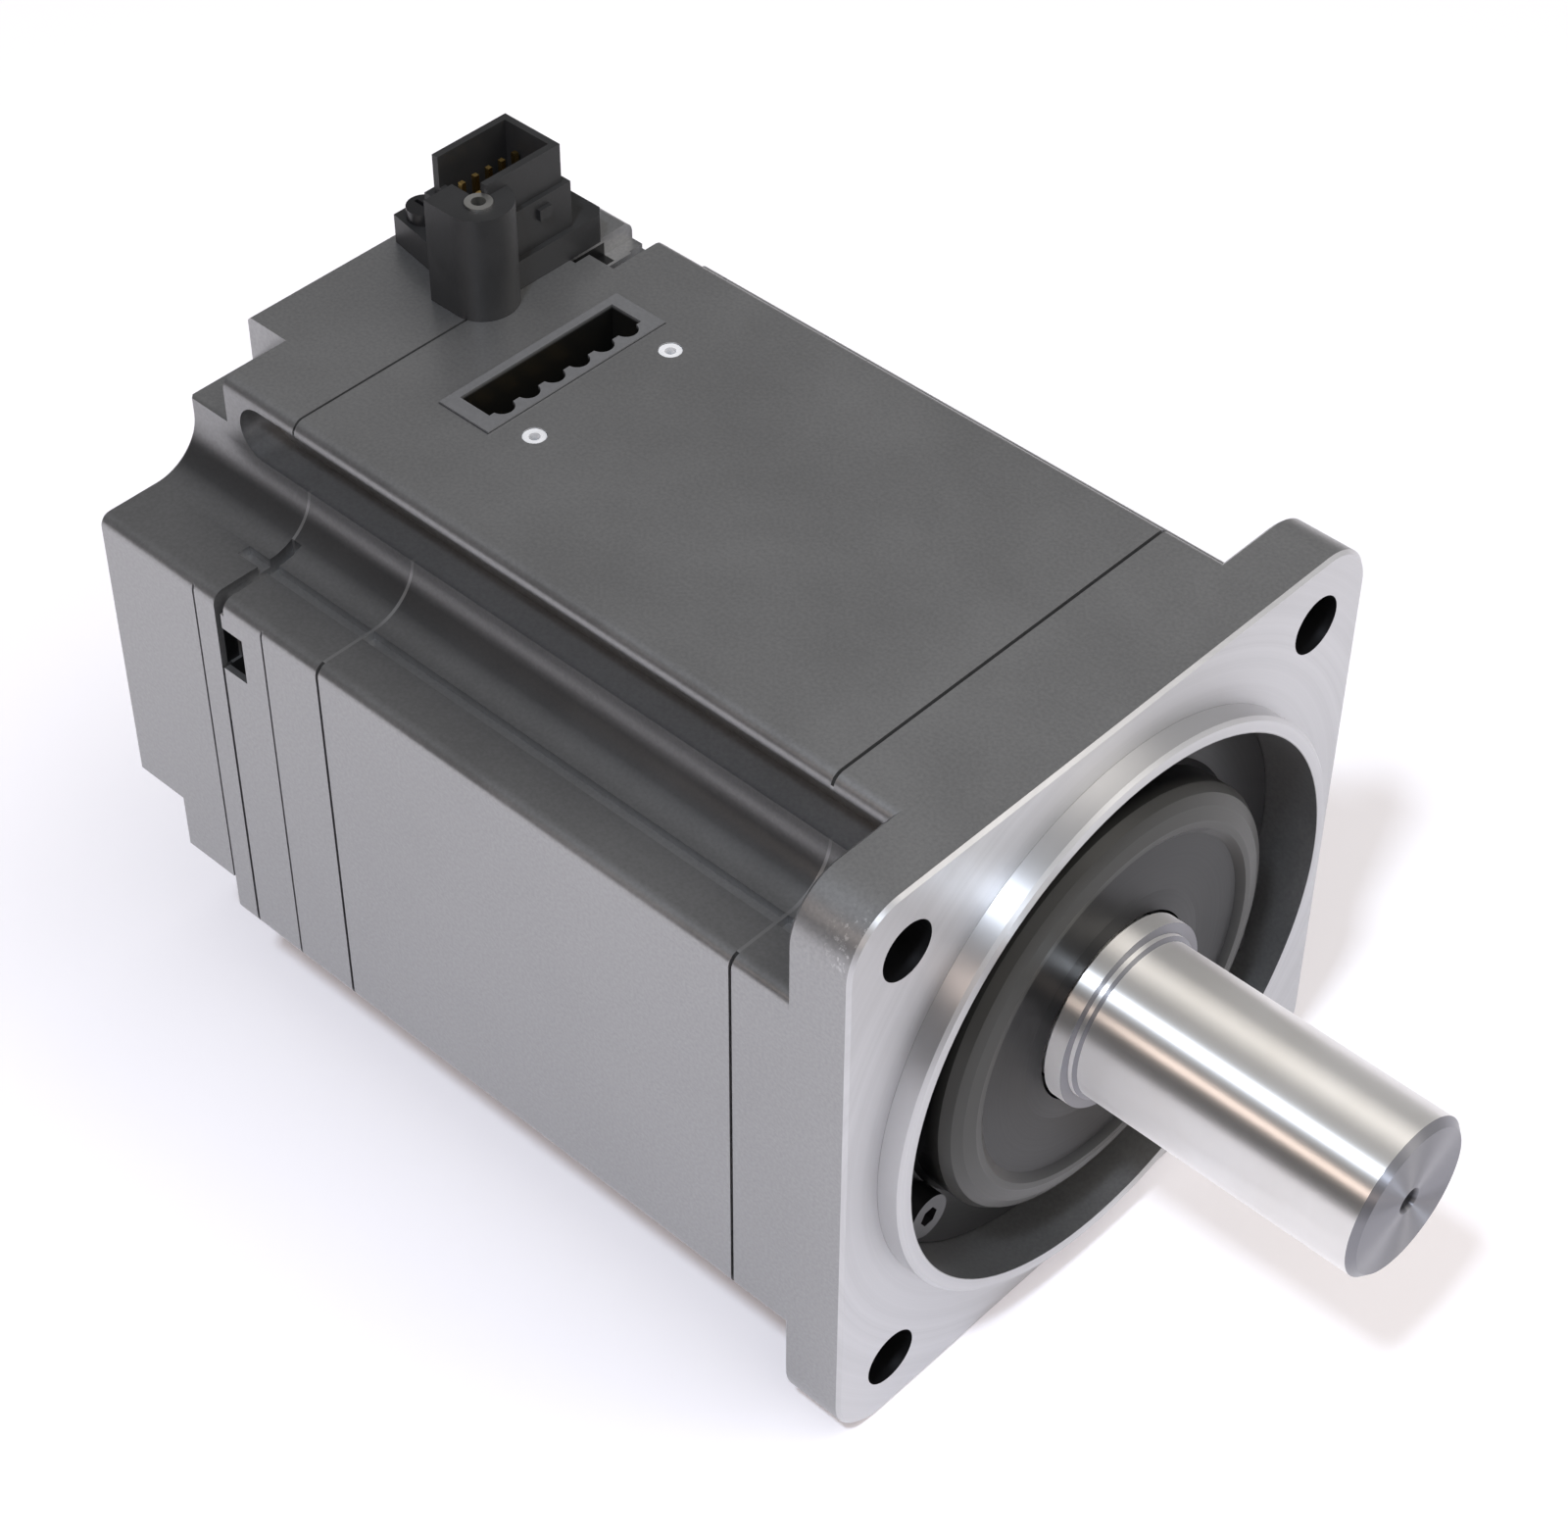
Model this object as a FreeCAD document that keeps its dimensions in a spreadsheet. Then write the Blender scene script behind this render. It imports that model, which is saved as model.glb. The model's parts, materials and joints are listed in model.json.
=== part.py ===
import FreeCAD, Part
import Sketcher
import math
import os
import re

# Flange-mounted servo motor.  Millimetres.  The origin is the centre of the flange's mounting face,
# +X is the way the output shaft points and +Z is the side that carries the two connectors.
# Along X the sizes are plain coordinates, so everything behind the flange face is negative.

os.makedirs("parts", exist_ok=True)
doc = FreeCAD.newDocument("servo_motor")
sheet = doc.addObject("Spreadsheet::Sheet", "Sizes")

SIZES = {
    # flange, pilot and front bracket
    "half_side": 40.0, "flange_back": -8.0, "flange_corner": 7.0,
    "bolt_offset": 31.82, "bolt_hole": 3.5,
    "pilot_end": 3.0, "pilot_radius": 35.0, "recess_radius": 33.2, "recess_floor": -6.5,
    "edge_break": 0.4,
    "bracket_back": -15.3, "spigot_back": -18.4, "spigot_radius": 35.4, "spigot_bore": 32.5,
    "housing_radius": 27.0, "housing_back": -21.7, "seat_radius": 23.53, "seat_lip": 20.5,
    # corner notches of the body, shared by all castings
    "notch": 25.7, "notch_round": 6.1, "edge_round": 1.5,
    "slot_low": 31.5, "slot_high": 38.3, "slot_floor": 21.3, "slot_middle": 34.9, "slot_round": 3.4,
    "groove_near": 31.9, "groove_far": 33.6, "groove_floor": 24.6,
    # stator frame with the top deck
    "frame_front": -15.7, "frame_back": -75.6, "deck_back": -93.8, "deck_bottom": 37.5,
    "frame_bore": 35.55,
    # rear bracket
    "rear_front": -76.0, "rear_back": -92.1, "rear_cavity": 35.0, "bulkhead_front": -82.5,
    "rear_seat_radius": 17.53, "rear_housing_radius": 21.5, "rear_housing_front": -79.0,
    "rear_lip_radius": 13.0, "rear_seat_floor": -91.0,
    "pocket_front": -88.3, "pocket_back": -93.0, "pocket_near": 15.4, "pocket_far": 21.6,
    "pocket_floor": 34.5, "top_pocket_front": -88.9, "top_pocket_near": 17.6, "top_pocket_floor": 32.5,
    "trough_front": -90.9, "trough_back": -92.6, "trough_in": 28.6, "trough_floor": 23.6,
    "slit_front": -91.5, "slit_depth": 2.5, "deck_slit": 1.0, "line_width": 0.3, "line_depth": 0.3, "rear_line": -84.6, "cover_line": -95.8,
    # encoder cover
    "cover_front": -92.5, "cover_back": -112.0, "cover_cavity": 32.0, "cover_floor": -109.4,
    "cover_edge": 0.5, "slot_end": -99.8,
    "step_front": -105.5, "step_near": 16.5, "step_floor": 34.0,
    "side_step_front": -104.0, "side_step_near": 12.6, "side_notch_near": 20.0, "side_notch_floor": 36.5,
    "side_notch_front": -95.9,
    "joint_inset": 0.6,
    # front bearing cover
    "cover_rim": 33.1, "cover_rim_front": -4.0, "hub_radius": 26.0, "hub_shoulder": 0.2,
    "hub_face_radius": 22.5, "hub_face": 2.3, "hub_dish": 1.6, "hub_hole": 11.6, "hub_dish_radius": 14.0,
    "seal_bore": 16.0, "seal_front": -0.3, "seal_back": -5.4,
    "screw_circle": 29.3, "small_shank": 1.45, "small_head": 2.75, "small_head_height": 2.6,
    "small_hex": 1.25, "small_tapped": 1.5, "screw_end": -13.0,
    # shaft and rotor
    "shaft_end": 40.0, "shaft_radius": 9.5, "shaft_chamfer": 0.8, "centre_hole": 1.3,
    "centre_depth": 4.0, "journal_front": 4.8, "journal_radius": 10.0, "journal_back": -20.53,
    "shoulder_radius": 12.5, "shoulder_back": -33.0, "core_seat": 11.0, "core_seat_back": -72.2,
    "relief_radius": 9.0, "rear_journal_front": -79.4, "rear_journal": 7.5, "rear_journal_back": -91.2,
    "tail_radius": 5.0, "tail_back": -99.0, "tail_hole": 1.5, "tail_hole_depth": 9.0,
    "collar_radius": 11.3, "collar_back": 1.9, "collar_front": 4.0, "fit_gap": 0.03,
    "core_front": -34.0, "core_back": -70.0, "rotor_core_radius": 18.9, "magnet_radius": 21.5,
    "magnet_angle": 33.0, "sleeve_radius": 21.8, "end_plate_back": -71.8,
    # stator
    "stator_bore": 22.5, "tip_radius": 24.3, "tip_gap": 1.1, "yoke_radius": 31.2, "stator_radius": 35.5,
    "tooth_half": 3.2, "paper_half": 3.7, "paper_low": 24.5, "paper_high": 30.6, "paper_over": 1.0,
    "coil_inner": 3.85, "coil_half": 6.1, "coil_low": 25.0, "coil_high": 30.0, "coil_gap": 1.2,
    "coil_over": 7.0, "coil_round": 2.0,
    "board_ring_front": -78.2, "board_ring_back": -79.6, "board_ring_in": 23.5, "board_ring_out": 29.5,
    "lead_circle": 27.5, "lead_radius": 0.5, "phase_lead_z": 27.3, "phase_lead_radius": 0.8,
    # power connector
    "power_back": -85.2, "power_front": -77.6, "power_left": -12.4, "power_right": 14.4,
    "power_bottom": 30.0, "power_top": 40.25, "power_slot_back": -84.1, "power_slot_front": -79.5,
    "power_slot_left": -10.4, "power_slot_right": 12.6, "power_slot_floor": 31.6,
    "cell_centre": -79.7, "cell_round": 1.4, "cell_pitch": 3.75, "first_cell": -8.3,
    "blade_x": -81.8, "blade_half_x": 0.4, "blade_half_y": 1.0, "blade_top": 35.0, "blade_bottom": 26.0,
    "insert_x": -73.8, "insert_left": -9.2, "insert_right": 11.4, "insert_radius": 1.35,
    "insert_hole": 0.65, "insert_depth": 3.6,
    # encoder connector
    "plug_base_back": -110.4, "plug_base_front": -93.6, "plug_base_left": 4.2, "plug_base_right": 21.2,
    "plug_base_top": 43.8, "tower_back": -104.4, "tower_front": -94.3, "tower_left": 3.9,
    "tower_right": 16.6, "tower_step": 49.8, "socket_back": -103.6, "socket_front": -94.9,
    "socket_left": 4.7, "socket_right": 15.8, "socket_top": 54.8, "socket_wall": 0.9,
    "socket_floor": 45.5, "socket_notch": 50.8, "latch_left": 11.4, "latch_right": 13.2,
    "latch_bottom": 47.2, "latch_top": 48.6, "lug_x": -94.6, "lug_y": 3.2, "lug_round_x": -95.2,
    "lug_round_y": 3.6, "lug_radius": 4.1, "lug_top": 53.4, "lug_back": -99.4, "lug_side": -0.5,
    "bush_radius": 1.6, "bush_hole": 0.85, "bush_depth": 8.0,
    "tail_left": 5.5, "tail_right": 15.0, "plug_tail_back": -102.4, "plug_tail_front": -96.0,
    "plug_tail_bottom": 33.5, "pin_half": 0.3, "pin_top": 51.8, "pin_bottom": 31.8, "pin_pitch_y": 2.0,
    "pin_row_back": -100.6, "pin_row_front": -97.8, "first_pin": 6.2,
    "plug_screw_back": -107.6, "plug_screw_left": 6.4, "plug_screw_right": 19.4,
    # encoder
    "enc_hub_radius": 8.0, "enc_hub_front": -94.6, "enc_hub_back": -100.4, "enc_bore_back": -99.0,
    "disc_radius": 19.0, "disc_back": -101.2,
    "board_front": -104.4, "board_back": -106.0, "board_radius": 28.5,
    "post_circle": 25.0, "post_radius": 2.2, "sensor_front": -102.0, "sensor_low": 10.0,
    "sensor_high": 20.0, "sensor_half": 5.0, "chip_back": -107.4, "header_low": 20.0,
    "header_high": 26.5, "header_left": 5.0, "header_right": 17.4,
    "header_front": -96.8, "hub_screw_head": 2.75, "hub_screw_height": 1.8, "board_screw_radius": 1.25,
    "board_screw_head": 2.1, "board_screw_height": 1.5,
    # bearings
    "front_inner": 10.03, "front_inner_land": 14.1, "front_outer_land": 19.4, "front_outer": 23.5,
    "front_middle": -13.5, "front_half_width": 7.0, "front_pitch": 16.75, "front_ball": 3.9,
    "front_groove": 3.96, "front_cage_in": 15.7, "front_cage_out": 17.8, "front_cage_half": 4.8,
    "rear_inner": 7.53, "rear_inner_land": 10.6, "rear_outer_land": 14.4, "rear_outer": 17.5,
    "rear_middle": -85.0, "rear_half_width": 5.5, "rear_pitch": 12.5, "rear_ball": 2.9,
    "rear_groove": 2.96, "rear_cage_in": 11.6, "rear_cage_out": 13.4, "rear_cage_half": 3.7,
    "shield_thickness": 0.4, "shield_gap": 0.25,
    "washer_in": 14.2, "washer_out": 17.3, "washer_front": -90.55, "washer_back": -90.95,
    "snap_front": -5.5, "snap_back": -6.4, "snap_groove": 9.5, "snap_radius": 12.0,
    # tie bolts
    "tie_y": 17.8, "tie_z": 34.4, "tie_shank": 1.95, "tie_front": -2.5, "tie_head_height": 3.6,
    "tie_head": 2.9, "tie_hex": 1.6, "tie_hole": 2.1, "tie_blind": -2.2, "tie_room": 3.2,
    "tie_room_back": -97.0,
    # encoder cover screws
    "cap_y": 20.6, "cap_z": 29.4, "cap_end": -86.0, "cap_hole": 1.6, "cap_seat": -109.2,
    "cap_bore": 3.0,
}

for row, (alias, number) in enumerate(SIZES.items(), start=1):
    sheet.set(f"A{row}", alias)
    sheet.set(f"B{row}", str(number))
    sheet.setAlias(f"B{row}", alias)
doc.recompute()

TERM = re.compile(r"([+-]?)\s*([A-Za-z_]\w*|\d+(?:\.\d+)?)(?:\*(\d+(?:\.\d+)?))?")
ALONG_X = FreeCAD.Rotation(FreeCAD.Vector(0, 1, 0), 90)
ALONG_Y = FreeCAD.Rotation(FreeCAD.Vector(1, 0, 0), -90)
X_AXIS = FreeCAD.Vector(1, 0, 0)
QUARTERS = (0, 90, 180, 270)
COVER_ANGLES = (92, 212, 332)
finished = {}


def size(expression):
    """Value of a sum of sheet names and numbers, such as 'core_back-coil_over'."""
    total = 0.0
    for sign, term, factor in TERM.findall(str(expression)):
        number = float(term) if term[0].isdigit() else float(sheet.get(term))
        number *= float(factor) if factor else 1.0
        total += -number if sign == "-" else number
    return total


def formula(expression):
    """The same sum as an expression on the sheet's cells."""
    return re.sub(r"[A-Za-z_]\w*", lambda found: "Sizes." + found.group(0), str(expression))


def bind(feature, **links):
    for name, expression in links.items():
        feature.setExpression(name.replace("_at_", "Placement.Base."), formula(expression))
    return feature


def opposite(expression):
    """The sum with every sign turned round."""
    text = str(expression)
    text = text if text[0] in "+-" else "+" + text
    return text.translate(str.maketrans("+-", "-+"))


def difference(high, low):
    low_turned = opposite(low)
    return f"{high}{low_turned}"


def rod(name, radius, start, end, y="0", z="0"):
    """Cylinder along X from start to end, with start < end."""
    piece = doc.addObject("Part::Cylinder", name)
    piece.Placement = FreeCAD.Placement(FreeCAD.Vector(size(start), size(y), size(z)), ALONG_X)
    return bind(piece, Radius=radius, Height=difference(end, start), _at_x=start, _at_y=y, _at_z=z)


def post(name, radius, x, y, low, high):
    """Cylinder along Z."""
    piece = doc.addObject("Part::Cylinder", name)
    piece.Placement = FreeCAD.Placement(FreeCAD.Vector(size(x), size(y), size(low)), FreeCAD.Rotation())
    return bind(piece, Radius=radius, Height=difference(high, low), _at_x=x, _at_y=y, _at_z=low)


def crossbar(name, radius, x, z, low, high):
    """Cylinder along Y."""
    piece = doc.addObject("Part::Cylinder", name)
    piece.Placement = FreeCAD.Placement(FreeCAD.Vector(size(x), size(low), size(z)), ALONG_Y)
    return bind(piece, Radius=radius, Height=difference(high, low), _at_x=x, _at_y=low, _at_z=z)


def block(name, x, y, z):
    """Box between the (low, high) pairs given for the three axes."""
    piece = doc.addObject("Part::Box", name)
    return bind(
        piece, Length=difference(x[1], x[0]), Width=difference(y[1], y[0]), Height=difference(z[1], z[0]),
        _at_x=x[0], _at_y=y[0], _at_z=z[0],
    )


def ball(name, radius, x, y, z):
    piece = doc.addObject("Part::Sphere", name)
    return bind(piece, Radius=radius, _at_x=x, _at_y=y, _at_z=z)


def join(name, pieces):
    fused = doc.addObject("Part::MultiFuse", name)
    fused.Shapes = pieces
    return fused


def take(name, base, tools):
    """Base with the tools cut away."""
    tool = tools[0] if len(tools) == 1 else join(name + "_tools", tools)
    result = doc.addObject("Part::Cut", name)
    result.Base = base
    result.Tool = tool
    return result


def around(name, source, angles):
    """The source repeated about the motor's axis, as one group of separate solids."""
    doc.recompute()
    copies = []
    for angle in angles:
        copy = source.Shape.copy()
        copy.rotate(FreeCAD.Vector(0, 0, 0), X_AXIS, angle)
        copies.append(copy)
    group = doc.addObject("Part::Feature", name)
    group.Shape = Part.makeCompound(copies)
    return group


def evenly(count, first=0.0):
    return [first + 360.0 * step / count for step in range(count)]


def tube(name, outer, inner, start, end):
    """Hollow cylinder about the motor's axis."""
    hole = rod(name + "_hole", inner, difference(start, "1"), end + "+1")
    return take(name, rod(name + "_solid", outer, start, end), [hole])


def sketch_polygon(body, name, role, corners, offset="0"):
    """Closed polygon on one of the body's own planes; every corner is held by two bound distances."""
    sketch = body.newObject("Sketcher::SketchObject", name)
    plane = [feature for feature in body.Origin.OriginFeatures if feature.Role == role][0]
    sketch.AttachmentSupport = [(plane, "")]
    sketch.MapMode = "FlatFace"
    sketch.setExpression("AttachmentOffset.Base.z", formula(offset))
    places = [FreeCAD.Vector(size(u), size(v), 0) for u, v in corners]
    count = len(places)
    lines = [Part.LineSegment(places[i], places[(i + 1) % count]) for i in range(count)]
    sketch.addGeometry(lines, False)
    sketch.addConstraint(
        [Sketcher.Constraint("Coincident", i, 2, (i + 1) % count, 1) for i in range(count)]
    )
    for i, corner in enumerate(corners):
        for kind, expression in zip(("DistanceX", "DistanceY"), corner):
            held = sketch.addConstraint(Sketcher.Constraint(kind, -1, 1, i, 1, size(expression)))
            sketch.setExpression(f"Constraints[{held}]", formula(expression))
    return sketch


def turned(name, corners):
    """Body of revolution about X from a polygon of (x, radius) corners."""
    body = doc.addObject("PartDesign::Body", name)
    sketch = sketch_polygon(body, name + "_profile", "XY_Plane", corners)
    revolution = body.newObject("PartDesign::Revolution", name + "_turned")
    revolution.Profile = sketch
    revolution.ReferenceAxis = (sketch, ["H_Axis"])
    revolution.Angle = 360
    return body


def finish(piece, node):
    piece.Label = node
    finished[node] = piece
    return piece


# ---------------------------------------------------------------- shared casting section

def notched_prism(name, front, back, inset="0"):
    """Square section with notched, rounded corners; inset sets its four outer faces back."""
    body = doc.addObject("PartDesign::Body", name)
    near = "notch"
    far = difference("half_side", inset)
    section = []
    for corner in range(4):
        outline = [(far, opposite(near)), (far, near), (near, near)]
        for _ in range(corner):
            outline = [(opposite(v), u) for u, v in outline]
        section.extend(outline)
    sketch = sketch_polygon(body, name + "_section", "YZ_Plane", section, offset=back)
    pad = body.newObject("PartDesign::Pad", name + "_pad")
    pad.Profile = sketch
    pad.setExpression("Length", formula(difference(front, back)))
    doc.recompute()
    inner = []
    outer = []
    for number, edge in enumerate(pad.Shape.Edges, start=1):
        middle = edge.CenterOfMass
        if abs(middle.x - (size(front) + size(back)) / 2) > 0.01:
            continue
        wide = max(abs(middle.y), abs(middle.z))
        (inner if wide < size(near) + 0.1 else outer).append(f"Edge{number}")
    hollow = body.newObject("PartDesign::Fillet", name + "_notch_round")
    hollow.Base = (pad, inner)
    hollow.setExpression("Radius", formula("notch_round"))
    doc.recompute()
    outer = [
        f"Edge{number}" for number, edge in enumerate(hollow.Shape.Edges, start=1)
        if abs(edge.CenterOfMass.x - (size(front) + size(back)) / 2) < 0.01
        and edge.Curve.TypeId == "Part::GeomLine"
        and max(abs(edge.CenterOfMass.y), abs(edge.CenterOfMass.z)) > size(far) - 0.01
    ]
    rounded = body.newObject("PartDesign::Fillet", name + "_edge_round")
    rounded.Base = (hollow, outer)
    rounded.setExpression("Radius", formula(difference("edge_round", inset)))
    return body


def wall_channels(name, front, back):
    """Long open channels in the notch walls, one at each corner."""
    slot = block(name, (back, front), ("-notch-1", "-slot_floor"), ("slot_low", "slot_high"))
    return around(name + "_set", slot, QUARTERS)


def tie_holes(name, front, back):
    """Closed holes behind the channels, where the tie bolts run."""
    return holes_around(name, "tie_hole", back, front, "-tie_y", "tie_z")


def ledge_grooves(name, front, back):
    """Narrow drain grooves along the notch ledges."""
    groove = block(
        name, (back, front), ("-groove_far", "-groove_near"), ("groove_floor", "notch+1")
    )
    return around(name + "_set", groove, QUARTERS)


def ledge_troughs(name):
    """Open gaps beside the cover joint: wide across each ledge, then narrow down to the pocket."""
    across = block(name + "_across", ("trough_back", "trough_front"), ("-half_side-1", "-trough_in"),
                   ("trough_floor", "notch+4"))
    down = block(name + "_down", ("trough_back", "slit_front"),
                 ("-half_side-1", difference("slit_depth", "half_side")), ("pocket_near", "notch+1"))
    return around(name + "_set", join(name + "_pair", [across, down]), QUARTERS)


def holes_around(name, radius, start, end, y, z, angles=QUARTERS):
    return around(name + "_set", rod(name, radius, start, end, y, z), angles)


# ---------------------------------------------------------------- front bracket

def make_front_bracket():
    plate = doc.addObject("PartDesign::Body", "flange_plate")
    square = [("half_side", "-half_side"), ("half_side", "half_side"),
              ("-half_side", "half_side"), ("-half_side", "-half_side")]
    outline = sketch_polygon(plate, "flange_outline", "YZ_Plane", square, offset="flange_back")
    pad = plate.newObject("PartDesign::Pad", "flange_pad")
    pad.Profile = outline
    pad.setExpression("Length", formula("0-flange_back"))
    doc.recompute()
    middle = size("flange_back") / 2
    corners = [f"Edge{i}" for i, edge in enumerate(pad.Shape.Edges, 1)
               if abs(edge.CenterOfMass.x - middle) < 0.01]
    rounded = plate.newObject("PartDesign::Fillet", "flange_corners")
    rounded.Base = (pad, corners)
    rounded.setExpression("Radius", formula("flange_corner"))
    doc.recompute()
    rims = [f"Edge{i}" for i, edge in enumerate(rounded.Shape.Edges, 1)
            if abs(edge.CenterOfMass.x) < 0.01 or abs(edge.CenterOfMass.x - size("flange_back")) < 0.01]
    broken = plate.newObject("PartDesign::Chamfer", "flange_edges")
    broken.Base = (rounded, rims)
    broken.setExpression("Size", formula("edge_break"))

    pilot = doc.addObject("Part::Cone", "pilot_lead")
    pilot.Placement = FreeCAD.Placement(FreeCAD.Vector(0, 0, 0), ALONG_X)
    bind(pilot, Radius1="pilot_radius", Radius2="pilot_radius-edge_break", Height="edge_break",
         _at_x="pilot_end-edge_break")
    solid = join("front_bracket_solid", [
        plate,
        notched_prism("bracket_body", "flange_back+1", "bracket_back"),
        rod("pilot_ring", "pilot_radius", "0-1", "pilot_end-edge_break"),
        pilot,
        rod("bracket_spigot", "spigot_radius", "spigot_back", "bracket_back+1"),
        rod("bearing_housing", "housing_radius", "housing_back", "bracket_back+1"),
    ])
    relief = tube("spigot_relief", "spigot_bore", "housing_radius", "spigot_back-1", "bracket_back")
    cutters = [
        relief,
        rod("cover_recess", "recess_radius", "recess_floor", "pilot_end+1"),
        rod("front_seat", "seat_radius", "recess_floor-14.03", "recess_floor+1"),
        rod("front_lip", "seat_lip", "housing_back-1", "recess_floor"),
        holes_around("flange_hole", "bolt_hole", "flange_back-1", "1", "bolt_offset", "bolt_offset"),
        wall_channels("bracket_slot", "flange_back", "bracket_back-1"),
        ledge_grooves("bracket_groove", "flange_back", "bracket_back-1"),
        tie_holes("tie_thread", "tie_blind", "bracket_back-1"),
        holes_around("cover_thread", "small_tapped", "screw_end-0.5", "recess_floor+1",
                     "screw_circle", "0", COVER_ANGLES),
    ]
    finish(take("front_bracket", solid, cutters), "front_bracket")


def make_front_cover():
    """Dished cover that clamps the front bearing and carries the oil seal."""
    corners = [
        ("recess_floor+0.03", "seal_bore+4"), ("recess_floor+0.03", "cover_rim"),
        ("cover_rim_front", "cover_rim"), ("cover_rim_front", "hub_radius+0.6"),
        ("cover_rim_front+0.6", "hub_radius"), ("hub_shoulder", "hub_radius"),
        ("hub_shoulder+1.1", "hub_radius-0.7"), ("hub_shoulder+1.7", "hub_radius-1.9"),
        ("hub_face", "hub_face_radius"), ("hub_face", "hub_face_radius-0.8"),
        ("hub_dish", "hub_face_radius-1.8"), ("hub_dish", "hub_dish_radius"),
        ("hub_dish+0.2", "hub_hole"), ("seal_front", "hub_hole"), ("seal_front", "seal_bore"),
        ("seal_back-0.2", "seal_bore"), ("seal_back-0.2", "seal_bore+4"),
    ]
    body = turned("bearing_cover_body", corners)
    holes = holes_around("cover_clearance", "small_shank+0.15", "recess_floor-1", "cover_rim_front+1",
                         "screw_circle", "0", COVER_ANGLES)
    finish(take("front_bearing_cover", body, [holes]), "front_bearing_cover")


def socket_screw(name, head_at, head_height, head, shank, tip, hexagon, y, z, up):
    """Cap screw along X: up is 1 when the head looks to +X and -1 when it looks to -X."""
    if up > 0:
        shell = rod(name + "_head", head, head_at, difference(head_at, opposite(head_height)), y, z)
        stem = rod(name + "_stem", shank, tip, head_at + "+0.1", y, z)
    else:
        shell = rod(name + "_head", head, difference(head_at, head_height), head_at, y, z)
        stem = rod(name + "_stem", shank, head_at + "-0.1", tip, y, z)
    solid = join(name + "_solid", [shell, stem])
    key = doc.addObject("Part::Prism", name + "_key")
    key.Polygon = 6
    turn = FreeCAD.Rotation(FreeCAD.Vector(0, 1, 0), 90 if up > 0 else -90)
    key.Placement = FreeCAD.Placement(FreeCAD.Vector(0, size(y), size(z)), turn)
    depth = difference(head_at, opposite(head_height)) if up > 0 else difference(head_at, head_height)
    start = difference(depth, hexagon) if up > 0 else difference(depth, opposite(hexagon))
    bind(key, Circumradius=hexagon, Height=hexagon + "+0.5", _at_x=start, _at_y=y, _at_z=z)
    return take(name, solid, [key])


def make_cover_screws():
    screw = socket_screw("cover_screw", "cover_rim_front", "small_head_height", "small_head",
                         "small_shank", "screw_end", "small_hex", "screw_circle", "0", 1)
    finish(around("front_cover_screws", screw, COVER_ANGLES), "front_cover_screws")


def make_oil_seal():
    corners = [
        ("seal_back", "seal_bore-fit_gap"), ("seal_front-0.05", "seal_bore-fit_gap"),
        ("seal_front-0.05", "seal_bore-4"), ("seal_front-0.8", "seal_bore-4.4"),
        ("seal_front-0.8", "journal_radius+0.45"), ("seal_front-1.6", "journal_radius+0.06"),
        ("seal_front-2.4", "journal_radius+0.06"), ("seal_front-4", "journal_radius+1.2"),
        ("seal_front-4", "journal_radius+2"), ("seal_front-2", "journal_radius+2.4"),
        ("seal_front-1.6", "seal_bore-1"), ("seal_back", "seal_bore-1"),
    ]
    finish(turned("oil_seal", corners), "oil_seal")
    spring = doc.addObject("Part::Torus", "seal_spring")
    spring.Placement = FreeCAD.Placement(FreeCAD.Vector(0, 0, 0), ALONG_X)
    bind(spring, Radius1="journal_radius+2.9", Radius2="0.42", _at_x="seal_front-3.1")
    finish(spring, "seal_garter_spring")


# ---------------------------------------------------------------- bearings

def make_bearing(label, prefix, count):
    """Deep-groove ball bearing in its separate pieces."""
    middle = prefix + "_middle"
    half = prefix + "_half_width"
    back = difference(middle, half)
    front = difference(middle, opposite(half))
    groove = doc.addObject("Part::Torus", prefix + "_track")
    groove.Placement = FreeCAD.Placement(FreeCAD.Vector(0, 0, 0), ALONG_X)
    bind(groove, Radius1=prefix + "_pitch", Radius2=prefix + "_groove", _at_x=middle)
    inner = tube(prefix + "_inner_blank", prefix + "_inner_land", prefix + "_inner", back, front)
    finish(take(prefix + "_inner_ring", inner, [groove]), label + "_bearing_inner_ring")
    outer = tube(prefix + "_outer_blank", prefix + "_outer", prefix + "_outer_land", back, front)
    finish(take(prefix + "_outer_ring", outer, [groove]), label + "_bearing_outer_ring")
    one = ball(prefix + "_one_ball", prefix + "_ball", middle, prefix + "_pitch", "0")
    finish(around(prefix + "_balls", one, evenly(count)), label + "_bearing_balls")
    ring = tube(prefix + "_cage_ring", prefix + "_cage_out", prefix + "_cage_in",
                difference(middle, prefix + "_cage_half"),
                difference(middle, opposite(prefix + "_cage_half")))
    pocket = ball(prefix + "_pocket", prefix + "_ball+0.15", middle, prefix + "_pitch", "0")
    pockets = around(prefix + "_pockets", pocket, evenly(count))
    finish(take(prefix + "_cage", ring, [pockets]), label + "_bearing_cage")
    shields = []
    for side, place in (("back", back), ("front", front + "-shield_thickness")):
        shields.append(tube(f"{prefix}_shield_{side}", prefix + "_outer_land-fit_gap",
                            prefix + "_inner_land+shield_gap", place, place + "+shield_thickness"))
    finish(around(prefix + "_shields", join(prefix + "_shield_pair", shields), [0]),
           label + "_bearing_shields")


def make_preload_washer():
    """Spring washer between the rear bearing's outer ring and the floor of its seat."""
    ring = tube("washer_ring", "washer_out", "washer_in", "washer_back", "washer_front")
    finish(ring, "preload_washer")


# ---------------------------------------------------------------- shaft and rotor

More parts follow.
